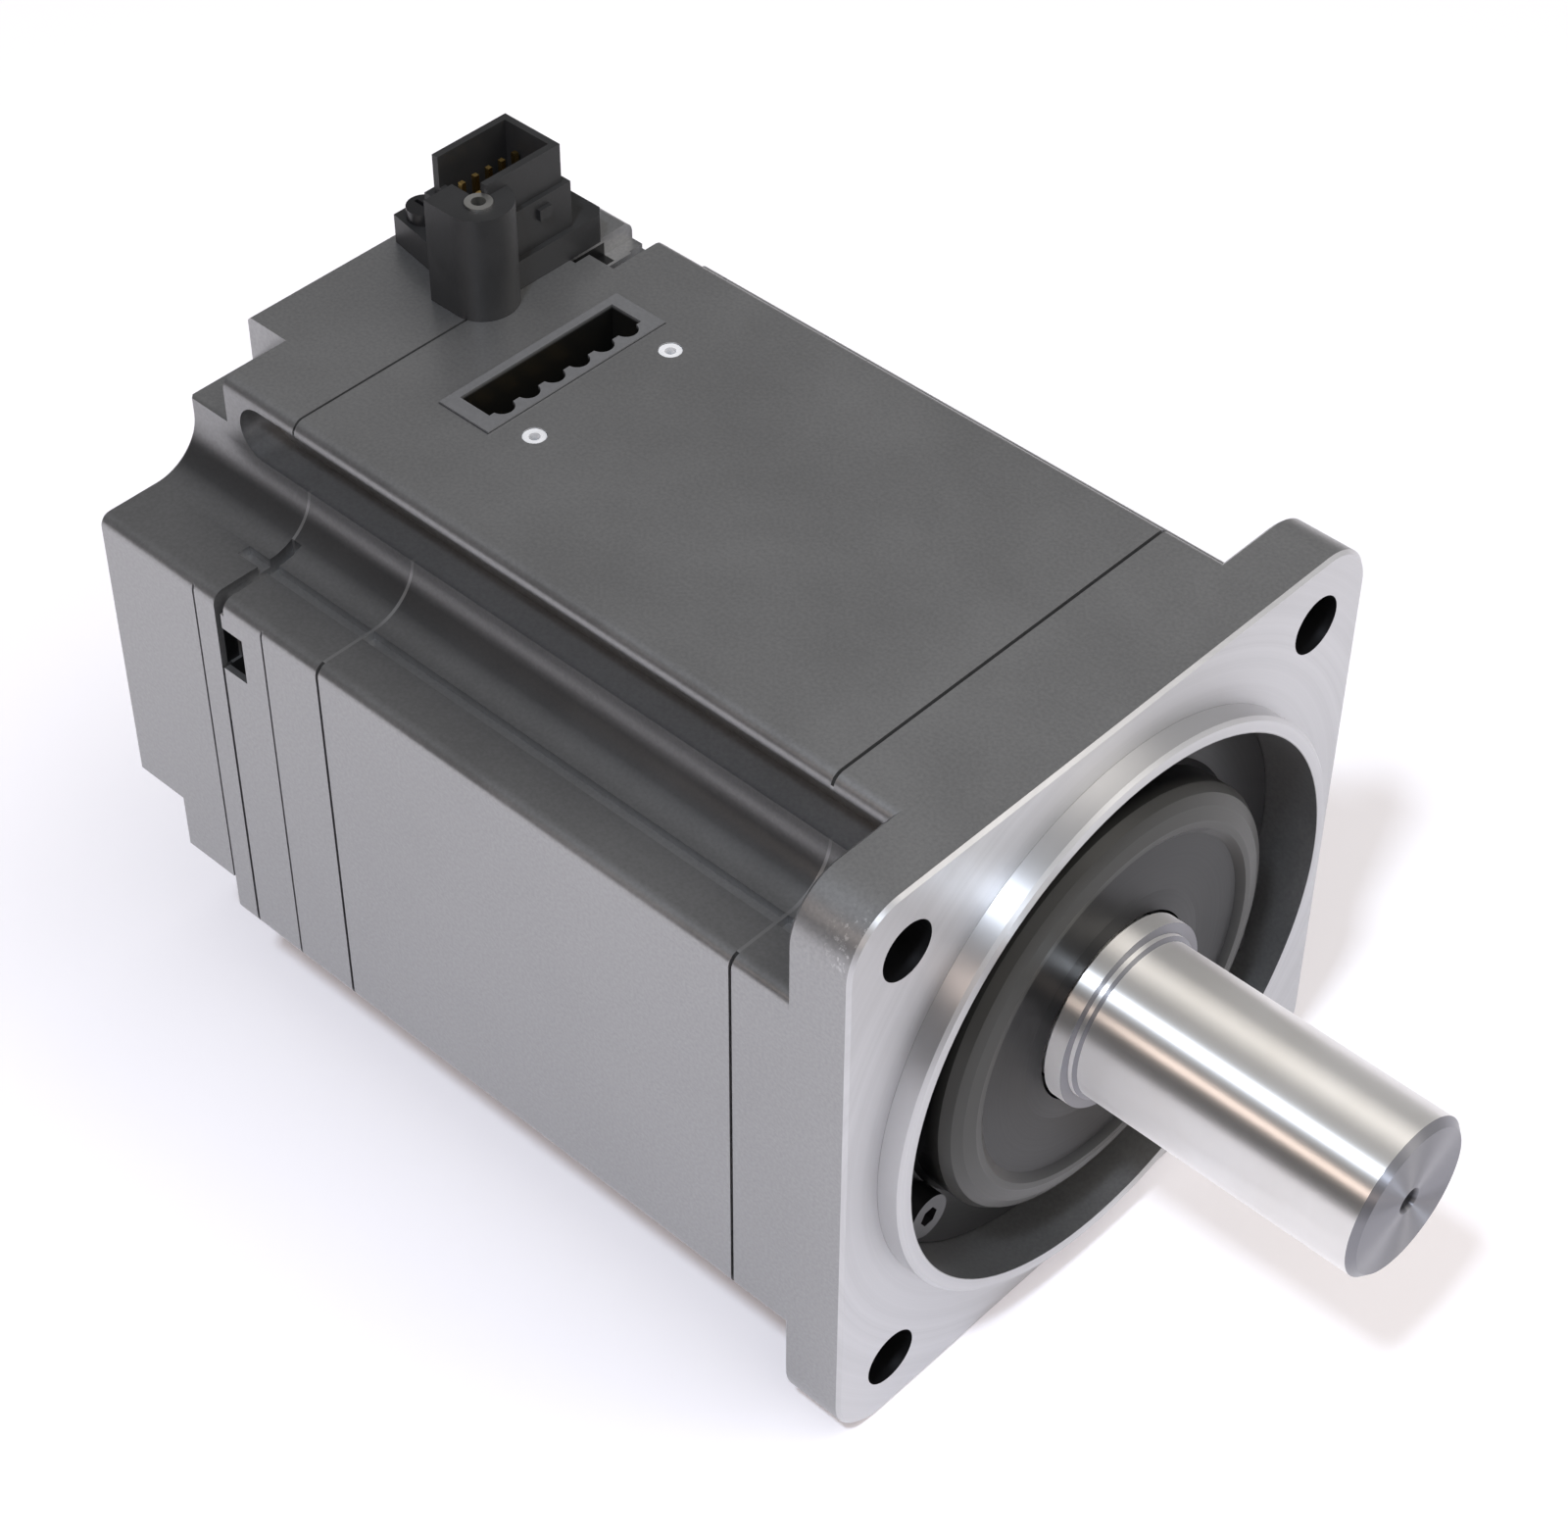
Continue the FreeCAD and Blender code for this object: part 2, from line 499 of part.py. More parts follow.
def make_rotor():
    corners = [
        ("tail_back", "0"), ("tail_back", "tail_radius-0.3"), ("tail_back+0.3", "tail_radius"),
        ("rear_journal_back", "tail_radius"), ("rear_journal_back", "rear_journal"),
        ("rear_journal_front", "rear_journal"), ("rear_journal_front", "relief_radius"),
        ("core_seat_back", "relief_radius"), ("core_seat_back", "core_seat"),
        ("shoulder_back", "core_seat"), ("shoulder_back", "shoulder_radius"),
        ("journal_back", "shoulder_radius"), ("journal_back", "journal_radius"),
        ("journal_front-0.3", "journal_radius"), ("journal_front", "shaft_radius"),
        ("shaft_end-shaft_chamfer", "shaft_radius"), ("shaft_end", "shaft_radius-shaft_chamfer"),
        ("shaft_end", "0"),
    ]
    body = turned("shaft_body", corners)
    mouth = doc.addObject("Part::Cone", "centre_mouth")
    mouth.Placement = FreeCAD.Placement(FreeCAD.Vector(0, 0, 0), ALONG_X)
    bind(mouth, Radius1="0.4", Radius2="centre_hole+0.3", Height="centre_hole",
         _at_x="shaft_end-centre_hole")
    drill = rod("centre_drill", "0.7", "shaft_end-centre_depth", "shaft_end+1")
    tail = rod("tail_thread", "tail_hole", "tail_back-1", "tail_back+tail_hole_depth")
    groove = tube("snap_groove_tool", "journal_radius+1", "snap_groove", "snap_back", "snap_front")
    finish(take("shaft_solid", body, [mouth, drill, tail, groove]), "shaft")
    ring = tube("snap_ring", "snap_radius", "snap_groove+fit_gap", "snap_back+fit_gap",
                "snap_front-fit_gap")
    gap = block("snap_gap", ("snap_back-1", "snap_front+1"), ("-2", "2"), ("0", "snap_radius+1"))
    finish(take("snap_ring_open", ring, [gap]), "bearing_retaining_ring")
    finish(tube("collar", "collar_radius", "journal_radius+fit_gap", "collar_back", "collar_front"),
           "shaft_collar")
    finish(tube("rotor_iron", "rotor_core_radius", "core_seat+fit_gap", "core_back", "core_front"),
           "rotor_core")
    finish(tube("rotor_plate", "rotor_core_radius", "core_seat+fit_gap", "end_plate_back",
                "core_back-fit_gap"), "rotor_end_plate")
    slab = doc.addObject("Part::Cylinder", "magnet_sector")
    slab.Placement = FreeCAD.Placement(FreeCAD.Vector(0, 0, 0), ALONG_X)
    bind(slab, Radius="magnet_radius", Height="core_front-core_back", Angle="magnet_angle",
         _at_x="core_back")
    hole = rod("magnet_hole", "rotor_core_radius+fit_gap", "core_back-1", "core_front+1")
    finish(around("magnets", take("one_magnet", slab, [hole]), evenly(10)), "magnets")
    finish(tube("sleeve", "sleeve_radius", "magnet_radius+fit_gap", "core_back", "core_front"),
           "magnet_sleeve")


# ---------------------------------------------------------------- stator

def make_stator():
    count = 12
    span = ("core_back", "core_front")
    yoke = tube("yoke", "stator_radius", "yoke_radius", *span)
    tip_ring = tube("tips", "tip_radius", "stator_bore", *span)
    mouth = block("slot_mouth", ("core_back-1", "core_front+1"), ("-tip_gap", "tip_gap"),
                  ("stator_bore-1", "tip_radius+1"))
    mouths = around("slot_mouths", mouth, evenly(count, 15))
    teeth = around("teeth", block("tooth", span, ("-tooth_half", "tooth_half"),
                                  ("tip_radius-0.6", "yoke_radius+1")), evenly(count))
    finish(join("stator_core", [yoke, teeth, take("tooth_tips", tip_ring, [mouths])]), "stator_core")

    sleeve = block("paper_box", ("core_back-paper_over", "core_front+paper_over"),
                   ("-paper_half", "paper_half"), ("paper_low", "paper_high"))
    hollow = block("paper_hole", ("core_back-0.03", "core_front+0.03"),
                   ("-tooth_half-0.03", "tooth_half+0.03"), ("paper_low-1", "paper_high+1"))
    finish(around("slot_insulators", take("one_insulator", sleeve, [hollow]), evenly(count)),
           "slot_insulators")

    bulk = block("coil_box", ("core_back-coil_over", "core_front+coil_over"),
                 ("-coil_half", "coil_half"), ("coil_low", "coil_high"))
    window = block("coil_window", ("core_back-coil_gap", "core_front+coil_gap"),
                   ("-coil_inner", "coil_inner"), ("coil_low-1", "coil_high+1"))
    ring = take("coil_ring", bulk, [window])
    doc.recompute()
    rounds = doc.addObject("Part::Fillet", "one_coil")
    rounds.Base = ring
    rounds.Edges = [
        (i, size("coil_round"), size("coil_round")) for i, edge in enumerate(ring.Shape.Edges, 1)
        if abs(abs(edge.CenterOfMass.y) - size("coil_half")) < 0.01
        and abs(edge.CenterOfMass.z - (size("coil_low") + size("coil_high")) / 2) < 0.01
    ]
    finish(around("coils", rounds, evenly(count)), "coils")

    finish(tube("lead_ring", "board_ring_out", "board_ring_in", "board_ring_back", "board_ring_front"),
           "connection_board")
    tail = rod("coil_tail", "lead_radius", "board_ring_front", "core_back-coil_over", "0", "lead_circle")
    finish(around("coil_tails", tail, evenly(count)), "coil_leads")


# ---------------------------------------------------------------- castings

def make_frame():
    shell = notched_prism("frame_section", "frame_front", "frame_back")
    deck = block("deck", ("deck_back", "frame_back+2"), ("-notch", "notch"), ("deck_bottom", "half_side"))
    doc.recompute()
    rounds = doc.addObject("Part::Fillet", "deck_rounded")
    rounds.Base = deck
    rounds.Edges = [
        (i, size("edge_round"), size("edge_round")) for i, edge in enumerate(deck.Shape.Edges, 1)
        if abs(abs(edge.CenterOfMass.y) - size("notch")) < 0.01
        and abs(edge.CenterOfMass.z - size("half_side")) < 0.01
    ]
    solid = join("frame_solid", [shell, rounds])
    cutters = [
        rod("frame_bore_tool", "frame_bore", "frame_back-0.4", "frame_front+1"),
        wall_channels("frame_slot", "frame_front+1", "deck_back-1"),
        tie_holes("frame_tie", "frame_front+1", "frame_back-1"),
        ledge_grooves("frame_groove", "frame_front+1", "frame_back-1"),
        block("power_window", ("power_back-0.1", "power_front+0.1"),
              ("power_left-0.1", "power_right+0.1"), ("deck_bottom-1", "half_side+1")),
        post("insert_seat_left", "insert_radius+fit_gap", "insert_x", "insert_left",
             "half_side-insert_depth-0.1", "half_side+1"),
        post("insert_seat_right", "insert_radius+fit_gap", "insert_x", "insert_right",
             "half_side-insert_depth-0.1", "half_side+1"),
        block("deck_slit_tool", ("deck_back-1", "deck_back+deck_slit"), ("pocket_near", "notch+1"),
              ("deck_bottom-1", "half_side+1")),
        block("deck_pocket", ("pocket_back", "top_pocket_front"), ("top_pocket_near", "notch+1"),
              ("top_pocket_floor", "half_side+1")),
    ]
    finish(take("stator_frame", solid, cutters), "stator_frame")


def make_rear_bracket():
    """Bracket that holds the rear bearing; the frame's deck lies over its top."""
    shell = join("rear_solid", [notched_prism("rear_section", "rear_front", "rear_back"),
                                rod("rear_housing", "rear_housing_radius", "bulkhead_front-1",
                                    "rear_housing_front")])
    pocket = block("side_pocket", ("pocket_back", "pocket_front"), ("-half_side-1", "-pocket_floor"),
                   ("pocket_near", "pocket_far"))
    line = block("side_line", ("rear_line-line_width", "rear_line"), ("-half_side-1", "-half_side+line_depth"),
                 ("-notch-1", "notch+1"))
    cavity = tube("rear_cavity_tool", "rear_cavity", "rear_housing_radius", "bulkhead_front",
                  "rear_front+1")
    cutters = [
        cavity,
        rod("rear_mouth", "rear_housing_radius+0.5", "rear_housing_front", "rear_front+1"),
        rod("rear_seat", "rear_seat_radius", "rear_seat_floor", "rear_front+1"),
        rod("rear_lip", "rear_lip_radius", "rear_back-1", "rear_seat_floor+1"),
        block("deck_room", ("rear_back-1", "rear_front+1"), ("-half_side-1", "half_side+1"),
              ("deck_bottom-fit_gap", "half_side+1")),
        wall_channels("rear_slot", "rear_front+1", "rear_back-1"),
        ledge_grooves("rear_groove_cut", "rear_front+1", "rear_back-1"),
        tie_holes("rear_tie_hole", "rear_front+1", "rear_back-1"),
        block("top_pocket", ("pocket_back", "top_pocket_front"), ("top_pocket_near", "notch+1"),
              ("top_pocket_floor", "half_side+1")),
        ledge_troughs("rear_trough"),
        holes_around("rear_cap_hole", "cap_hole-0.1", "rear_back-1", "cap_end+0.5", "-cap_y", "cap_z"),
        block("power_room", ("power_back-0.3", "power_front+0.3"), ("power_left-0.3", "power_right+0.3"),
              ("power_bottom-0.5", "half_side+1")),
        around("side_pockets", pocket, (0, 90, 180)),
        around("side_lines", line, (0, 90, 180)),
        holes_around("post_thread", "board_screw_radius", "rear_back-1", "rear_back+4", "post_circle",
                     "0", evenly(4)),
    ]
    finish(take("rear_bracket_cut", shell, cutters), "rear_bracket")


def make_encoder_cover():
    blank = notched_prism("cover_section", "cover_front", "cover_back")
    doc.recompute()
    section = blank.Tip
    rim = blank.newObject("PartDesign::Chamfer", "cover_rim_chamfer")
    rim.Base = (section, [
        f"Edge{i}" for i, edge in enumerate(section.Shape.Edges, 1)
        if abs(edge.CenterOfMass.x - size("cover_back")) < 0.01
    ])
    rim.setExpression("Size", formula("cover_edge"))
    top_step = block("top_step", ("cover_back-1", "step_front"), ("-notch-1", "-step_near"),
                     ("step_floor", "half_side+1"))
    side_step = block("side_step", ("cover_back-1", "side_step_front"), ("-half_side-1", "-step_floor"),
                      ("-notch-1", "-side_step_near"))
    side_notch = block("side_notch", ("side_step_front-1", "side_notch_front"),
                       ("-half_side-1", "-side_notch_floor"), ("-notch-1", "-side_notch_near"))
    slot_round = crossbar("slot_round_tool", "slot_round", "slot_end", "slot_middle", "-notch-1",
                          "-slot_floor")
    line = block("cover_line_tool", ("cover_line-line_width", "cover_line"),
                 ("-half_side-1", "-half_side+line_depth"), ("-notch-1", "notch+1"))
    cutters = [
        rod("cover_cavity_tool", "cover_cavity", "cover_floor", "cover_front+1"),
        around("top_steps", top_step, (0, 180)),
        around("side_steps", side_step, (0, 180)),
        around("side_notches", side_notch, (0, 180)),
        wall_channels("cover_slot", "cover_front+1", "slot_end"),
        around("slot_rounds", slot_round, QUARTERS),
        around("cover_lines", line, (0, 90, 180)),
        block("deck_seat", ("deck_back-0.3", "cover_front+1"), ("-notch-1", "notch+1"),
              ("deck_bottom-fit_gap", "half_side+1")),
        holes_around("tie_head_room", "tie_room", "tie_room_back", "cover_front+1", "-tie_y", "tie_z"),
        ledge_grooves("cover_groove", "cover_front+1", "cover_line"),
        holes_around("cap_clearance", "cap_hole", "cover_back-1", "cover_front+1", "-cap_y", "cap_z"),
        holes_around("cap_counterbore", "cap_bore", "cover_back-1", "cap_seat", "-cap_y", "cap_z"),
        block("plug_window", ("plug_tail_back-0.1", "plug_tail_front+0.1"),
              ("tail_left-0.1", "tail_right+0.1"), ("cover_cavity-8", "half_side+1")),
        post("plug_thread_left", "board_screw_radius", "plug_screw_back", "plug_screw_left",
             "half_side-5", "half_side+1"),
        post("plug_thread_right", "board_screw_radius", "plug_screw_back", "plug_screw_right",
             "half_side-5", "half_side+1"),
    ]
    finish(take("encoder_cover_cut", blank, cutters), "encoder_cover")


def make_gaskets():
    """Thin joints between the castings, set back from the outside so that each shows as a dark line."""
    front = notched_prism("front_joint", "bracket_back", "frame_front", "joint_inset")
    finish(take("front_joint_cut", front, [
        rod("front_joint_bore", "frame_bore", "frame_front-1", "bracket_back+1"),
        wall_channels("front_joint_slot", "bracket_back+1", "frame_front-1"),
        tie_holes("front_joint_tie", "bracket_back+1", "frame_front-1"),
    ]), "front_gasket")
    rear = notched_prism("rear_joint", "frame_back", "rear_front", "joint_inset")
    finish(take("rear_joint_cut", rear, [
        rod("rear_joint_bore", "frame_bore", "rear_front-1", "frame_back+1"),
        block("rear_joint_deck", ("rear_front-1", "frame_back+1"), ("-half_side-1", "half_side+1"),
              ("deck_bottom-fit_gap", "half_side+1")),
        wall_channels("rear_joint_slot", "frame_back+1", "rear_front-1"),
        tie_holes("rear_joint_tie", "frame_back+1", "rear_front-1"),
    ]), "rear_gasket")
    cover = notched_prism("cover_joint", "rear_back", "cover_front", "joint_inset")
    finish(take("cover_joint_cut", cover, [
        rod("cover_joint_bore", "cover_cavity", "cover_front-1", "rear_back+1"),
        wall_channels("cover_joint_slot", "rear_back+1", "cover_front-1"),
        holes_around("cover_joint_head", "tie_room", "cover_front-1", "rear_back+1", "-tie_y", "tie_z"),
        block("cover_joint_deck", ("cover_front-1", "rear_back+1"), ("-half_side-1", "half_side+1"),
              ("deck_bottom-fit_gap", "half_side+1")),
        ledge_troughs("cover_joint_trough"),
        holes_around("cover_joint_hole", "cap_hole", "cover_front-1", "rear_back+1", "-cap_y", "cap_z"),
    ]), "cover_gasket")


def make_long_screws():
    tie = socket_screw("tie_bolt", "rear_back", "tie_head_height", "tie_head", "tie_shank", "tie_front",
                       "tie_hex", "-tie_y", "tie_z", -1)
    finish(around("tie_bolt_set", tie, QUARTERS), "tie_bolts")
    cap = socket_screw("cap_screw", "cap_seat", "small_head_height", "small_head", "small_shank",
                       "cap_end", "small_hex", "-cap_y", "cap_z", -1)
    finish(around("cap_screw_set", cap, QUARTERS), "encoder_cover_screws")


# ---------------------------------------------------------------- connectors

def row(name, source, axis, pitch, count):
    """Copies of a small piece in a straight row, as one group of separate solids."""
    doc.recompute()
    copies = []
    for step in range(count):
        copy = source.Shape.copy()
        copy.translate(axis * (size(pitch) * step))
        copies.append(copy)
    group = doc.addObject("Part::Feature", name)
    group.Shape = Part.makeCompound(copies)
    return group


def make_power_connector():
    body = block("power_body", ("power_back", "power_front"), ("power_left", "power_right"),
                 ("power_bottom", "power_top"))
    cell = post("power_cell", "cell_round", "cell_centre", "first_cell", "power_slot_floor",
                "power_top+1")
    across = FreeCAD.Vector(0, 1, 0)
    blade = block("power_blade", ("blade_x-blade_half_x", "blade_x+blade_half_x"),
                  ("first_cell-blade_half_y", "first_cell+blade_half_y"), ("blade_bottom", "blade_top"))
    room = block("blade_room", ("blade_x-blade_half_x-0.02", "blade_x+blade_half_x+0.02"),
                 ("first_cell-blade_half_y-0.02", "first_cell+blade_half_y+0.02"),
                 ("power_bottom-1", "power_slot_floor+1"))
    cutters = [
        block("power_slot", ("power_slot_back", "power_slot_front"),
              ("power_slot_left", "power_slot_right"), ("power_slot_floor", "power_top+1")),
        row("power_cells", cell, across, "cell_pitch", 6),
        row("blade_rooms", room, across, "cell_pitch", 6),
    ]
    finish(take("power_housing", body, cutters), "power_connector")
    finish(row("power_blades", blade, across, "cell_pitch", 6), "power_contacts")
    lead = rod("phase_lead", "phase_lead_radius", "blade_x+blade_half_x", "board_ring_back",
               "first_cell", "phase_lead_z")
    finish(row("phase_lead_row", lead, across, "cell_pitch", 3), "phase_leads")
    inserts = []
    for side in ("left", "right"):
        shell = post("insert_shell_" + side, "insert_radius", "insert_x", "insert_" + side,
                     "half_side-insert_depth", "half_side-0.15")
        bore = post("insert_bore_" + side, "insert_hole", "insert_x", "insert_" + side,
                    "half_side-insert_depth-1", "half_side+1")
        inserts.append(take("insert_one_" + side, shell, [bore]))
    finish(around("insert_pair", join("insert_both", inserts), [0]), "threaded_inserts")


def make_encoder_connector():
    plate = doc.addObject("PartDesign::Body", "plug_plate")
    outline = [("plug_base_back", "plug_base_left"), ("lug_back-3.6", "plug_base_left-1.2"),
               ("lug_back", "lug_side"), ("plug_base_front-1.6", "lug_side"),
               ("plug_base_front", "plug_base_left"), ("plug_base_front", "plug_base_right-1"),
               ("plug_base_front-1", "plug_base_right"), ("plug_base_back+1", "plug_base_right"),
               ("plug_base_back", "plug_base_right-1")]
    sketch = sketch_polygon(plate, "plug_outline", "XY_Plane", outline, offset="half_side+0.02")
    pad = plate.newObject("PartDesign::Pad", "plug_pad")
    pad.Profile = sketch
    pad.setExpression("Length", formula("plug_base_top-half_side-0.02"))
    pin = block("plug_pin", ("pin_row_back-pin_half", "pin_row_back+pin_half"),
                ("first_pin-pin_half", "first_pin+pin_half"), ("pin_bottom", "pin_top"))
    room = block("pin_room", ("pin_row_back-pin_half-0.02", "pin_row_back+pin_half+0.02"),
                 ("first_pin-pin_half-0.02", "first_pin+pin_half+0.02"), ("pin_bottom-1", "pin_top+1"))
    across = FreeCAD.Vector(0, 1, 0)
    forward = FreeCAD.Vector(size("pin_row_front") - size("pin_row_back"), 0, 0)

    def two_rows(name, source):
        first = row(name + "_back", source, across, "pin_pitch_y", 5)
        second = first.Shape.copy()
        second.translate(forward)
        group = doc.addObject("Part::Feature", name)
        group.Shape = Part.makeCompound(first.Shape.Solids + second.Solids)
        return group

    solid = join("plug_solid", [
        plate,
        block("plug_tower", ("tower_back", "tower_front"), ("tower_left", "tower_right"),
              ("plug_base_top-1", "tower_step")),
        block("plug_socket", ("socket_back", "socket_front"), ("socket_left", "socket_right"),
              ("plug_base_top-1", "socket_top")),
        post("plug_lug", "lug_radius", "lug_round_x", "lug_round_y", "half_side+0.02", "lug_top"),
        block("plug_lug_back", ("lug_back", "lug_round_x"), ("lug_side", "lug_round_y+2"),
              ("plug_base_top-1", "lug_top")),
        block("plug_latch", ("tower_front-1", "tower_front+0.5"), ("latch_left", "latch_right"),
              ("latch_bottom", "latch_top")),
        block("plug_tail", ("plug_tail_back", "plug_tail_front"), ("tail_left", "tail_right"),
              ("plug_tail_bottom", "half_side+1")),
    ])
    cutters = [
        block("socket_well", ("socket_back+socket_wall", "socket_front-socket_wall"),
              ("socket_left+socket_wall", "socket_right-socket_wall"), ("socket_floor", "socket_top+1")),
        block("socket_side_notch", ("socket_back+socket_wall", "socket_front-socket_wall"),
              ("socket_left-1", "socket_left+socket_wall+1"), ("socket_notch", "socket_top+1")),
        post("bush_room", "bush_radius+0.02", "lug_x", "lug_y", "lug_top-bush_depth", "lug_top+1"),
        two_rows("pin_rooms", room),
        post("plug_hole_left", "board_screw_radius+0.1", "plug_screw_back", "plug_screw_left",
             "half_side-1", "plug_base_top+1"),
        post("plug_hole_right", "board_screw_radius+0.1", "plug_screw_back", "plug_screw_right",
             "half_side-1", "plug_base_top+1"),
    ]
    finish(take("encoder_plug", solid, cutters), "encoder_connector")
    finish(two_rows("plug_pins", pin), "encoder_pins")
    shell = post("bush_shell", "bush_radius", "lug_x", "lug_y", "lug_top-bush_depth", "lug_top+0.3")
    bore = post("bush_bore", "bush_hole", "lug_x", "lug_y", "lug_top-bush_depth-1", "lug_top+1")
    finish(take("plug_bush", shell, [bore]), "plug_screw_bush")
    screws = []
    for side in ("left", "right"):
        spot = "plug_screw_" + side
        head = post("plug_head_" + side, "board_screw_head", "plug_screw_back", spot, "plug_base_top",
                    "plug_base_top+board_screw_height")
        stem = post("plug_stem_" + side, "board_screw_radius-0.03", "plug_screw_back", spot,
                    "half_side-4.5", "plug_base_top+0.1")
        cross = block("plug_cross_" + side, ("plug_screw_back-1.4", "plug_screw_back+1.4"),
                      (spot + "-0.25", spot + "+0.25"),
                      ("plug_base_top+board_screw_height-0.7", "plug_base_top+board_screw_height+1"))
        screws.append(take("plug_screw_one_" + side, join("plug_screw_solid_" + side, [head, stem]),
                           [cross]))
    finish(around("plug_screw_pair", join("plug_screw_both", screws), [0]), "connector_screws")
    wire = post("encoder_wire", "pin_half-0.02", "pin_row_back", "first_pin", "header_high", "pin_bottom")
    finish(two_rows("encoder_wires", wire), "encoder_leads")


# ---------------------------------------------------------------- encoder

def make_encoder():
    hub = turned("hub_body", [
        ("enc_hub_back", "tail_hole+0.2"), ("enc_hub_back", "enc_hub_radius"),
        ("enc_hub_front", "enc_hub_radius"), ("enc_hub_front", "tail_radius+fit_gap"),
        ("enc_bore_back-fit_gap", "tail_radius+fit_gap"), ("enc_bore_back-fit_gap", "tail_hole+0.2"),
    ])
    finish(hub, "encoder_hub")
    disc = tube("disc_ring", "disc_radius", "tail_hole+0.2", "disc_back", "enc_hub_back-0.02")
    window = block("disc_window", ("disc_back-1", "enc_hub_back+1"), ("-0.35", "0.35"), ("15.0", "17.6"))
    windows = around("disc_windows", window, evenly(36))
    finish(take("encoder_disc_cut", disc, [windows]), "encoder_disc")
    screw = socket_screw("hub_screw", "disc_back-0.02", "hub_screw_height", "hub_screw_head",
                         "tail_hole-0.05", "tail_back+tail_hole_depth-1.5", "small_hex", "0", "0", -1)
    finish(screw, "encoder_hub_screw")
    board = rod("board_disc", "board_radius", "board_back", "board_front")
    finish(take("board_cut", board, [
        holes_around("board_hole", "board_screw_radius+0.1", "board_back-1", "board_front+1",
                     "post_circle", "0", evenly(4)),
    ]), "encoder_board")
    chips = join("chips", [
        block("chip_large", ("chip_back", "board_back"), ("-7", "3"), ("-12", "-2")),
        block("chip_small", ("chip_back+0.4", "board_back"), ("8", "13"), ("-6", "0")),
    ])
    finish(around("chip_group", chips, [0]), "encoder_chips")
    finish(block("sensor_box", ("board_front", "sensor_front"), ("-sensor_half", "sensor_half"),
                 ("sensor_low", "sensor_high")), "encoder_sensor")
    finish(block("header_box", ("board_front", "header_front"), ("header_left", "header_right"),
                 ("header_low", "header_high")), "encoder_header")
    pillar = rod("pillar", "post_radius", "board_front", "rear_back", "post_circle", "0")
    core = rod("pillar_bore", "board_screw_radius", "board_front-1", "board_front+7", "post_circle", "0")
    stud = rod("pillar_stud", "board_screw_radius-0.03", "rear_back-1", "rear_back+3.5", "post_circle", "0")
    standoff = join("standoff", [take("pillar_cut", pillar, [core]), stud])
    finish(around("standoffs", standoff, evenly(4)), "board_standoffs")
    fixing = socket_screw("board_screw", "board_back", "board_screw_height", "board_screw_head",
                          "board_screw_radius-0.03", "board_front+6", "board_screw_radius-0.45",
                          "post_circle", "0", -1)
    finish(around("board_screw_set", fixing, evenly(4)), "encoder_board_screws")


make_front_bracket()
make_front_cover()
make_cover_screws()
make_oil_seal()
make_bearing("front", "front", 8)
make_bearing("rear", "rear", 8)
make_preload_washer()
make_rotor()
make_stator()
make_frame()
make_rear_bracket()
make_encoder_cover()
make_gaskets()
make_long_screws()
make_power_connector()
make_encoder_connector()
make_encoder()
doc.recompute()

for entry in doc.Objects:
    for state in entry.State:
        if state in ("Invalid", "Error"):
            raise RuntimeError(f"{entry.Name} is {state}")

for node, piece in finished.items():
    shape = piece.Shape
    if shape.isNull() or not shape.isValid() or not shape.Solids:
        raise RuntimeError(f"{node} has no sound shape")
    shape.exportStep(f"parts/{node}.step")
    box = shape.BoundBox
    print(f"{node:26s} solids {len(shape.Solids):2d}  volume {shape.Volume:9.1f}  "
          f"x {box.XMin:7.2f} {box.XMax:7.2f}  y {box.YMin:6.2f} {box.YMax:6.2f}  "
          f"z {box.ZMin:6.2f} {box.ZMax:6.2f}")
print(len(finished), "nodes")
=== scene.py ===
import json
import math
import bpy
from mathutils import Matrix, Vector


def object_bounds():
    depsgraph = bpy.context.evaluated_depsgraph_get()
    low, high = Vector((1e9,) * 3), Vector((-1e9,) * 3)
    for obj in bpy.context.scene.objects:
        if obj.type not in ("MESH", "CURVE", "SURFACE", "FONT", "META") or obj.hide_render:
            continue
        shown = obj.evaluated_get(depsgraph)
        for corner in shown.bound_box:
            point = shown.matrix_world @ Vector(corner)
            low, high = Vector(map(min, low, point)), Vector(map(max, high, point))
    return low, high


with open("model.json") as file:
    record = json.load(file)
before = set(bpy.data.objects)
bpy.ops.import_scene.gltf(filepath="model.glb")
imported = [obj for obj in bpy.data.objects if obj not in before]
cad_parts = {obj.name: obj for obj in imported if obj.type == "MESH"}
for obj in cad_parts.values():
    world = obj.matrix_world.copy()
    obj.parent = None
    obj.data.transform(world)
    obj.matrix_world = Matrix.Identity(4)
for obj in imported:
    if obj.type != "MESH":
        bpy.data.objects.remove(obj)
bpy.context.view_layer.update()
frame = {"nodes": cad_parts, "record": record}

# Lengths are in metres. The origin is the centre of the flange's mounting face, +X runs along the
# output shaft and +Z points towards the connectors.

FLOOR_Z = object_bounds()[0][2]
FLOOR_HALF = 3.0

CAMERA_PLACE = Vector((0.1467, -0.2064, 0.2763))
CAMERA_AZIMUTH = math.radians(43.00)
CAMERA_ELEVATION = math.radians(44.09)
CAMERA_ROLL = math.radians(0.37)
CAMERA_LENS = 81.13
CAMERA_SENSOR = 36.0

PAINT = (0.315, 0.315, 0.318)
PAINT_METALLIC = 0.86
ALUMINIUM = (0.56, 0.56, 0.57)
VALLEY_SHADE_COLOUR = (0.07, 0.07, 0.072)
POCKET_SHADE_COLOUR = (0.025, 0.025, 0.026)
SPECK_COLOUR = (0.5, 0.5, 0.52)
WORN_COLOUR = (0.62, 0.62, 0.63)
BORE_SHADE_COLOUR = (0.03, 0.03, 0.032)
JOINT_COLOUR = (0.006, 0.006, 0.006)

# Corner notches, seen along the axis: "low" is the smaller distance from the two middle planes.
# Painted shade darkens the rounded valleys of the corner notches between the next two distances, by the
# share after them.
VALLEY_LOW_START = 0.0250
VALLEY_LOW_END = 0.0268
VALLEY_SHADE_SHARE = 0.82
OUTER_FACE_REACH = 0.0388
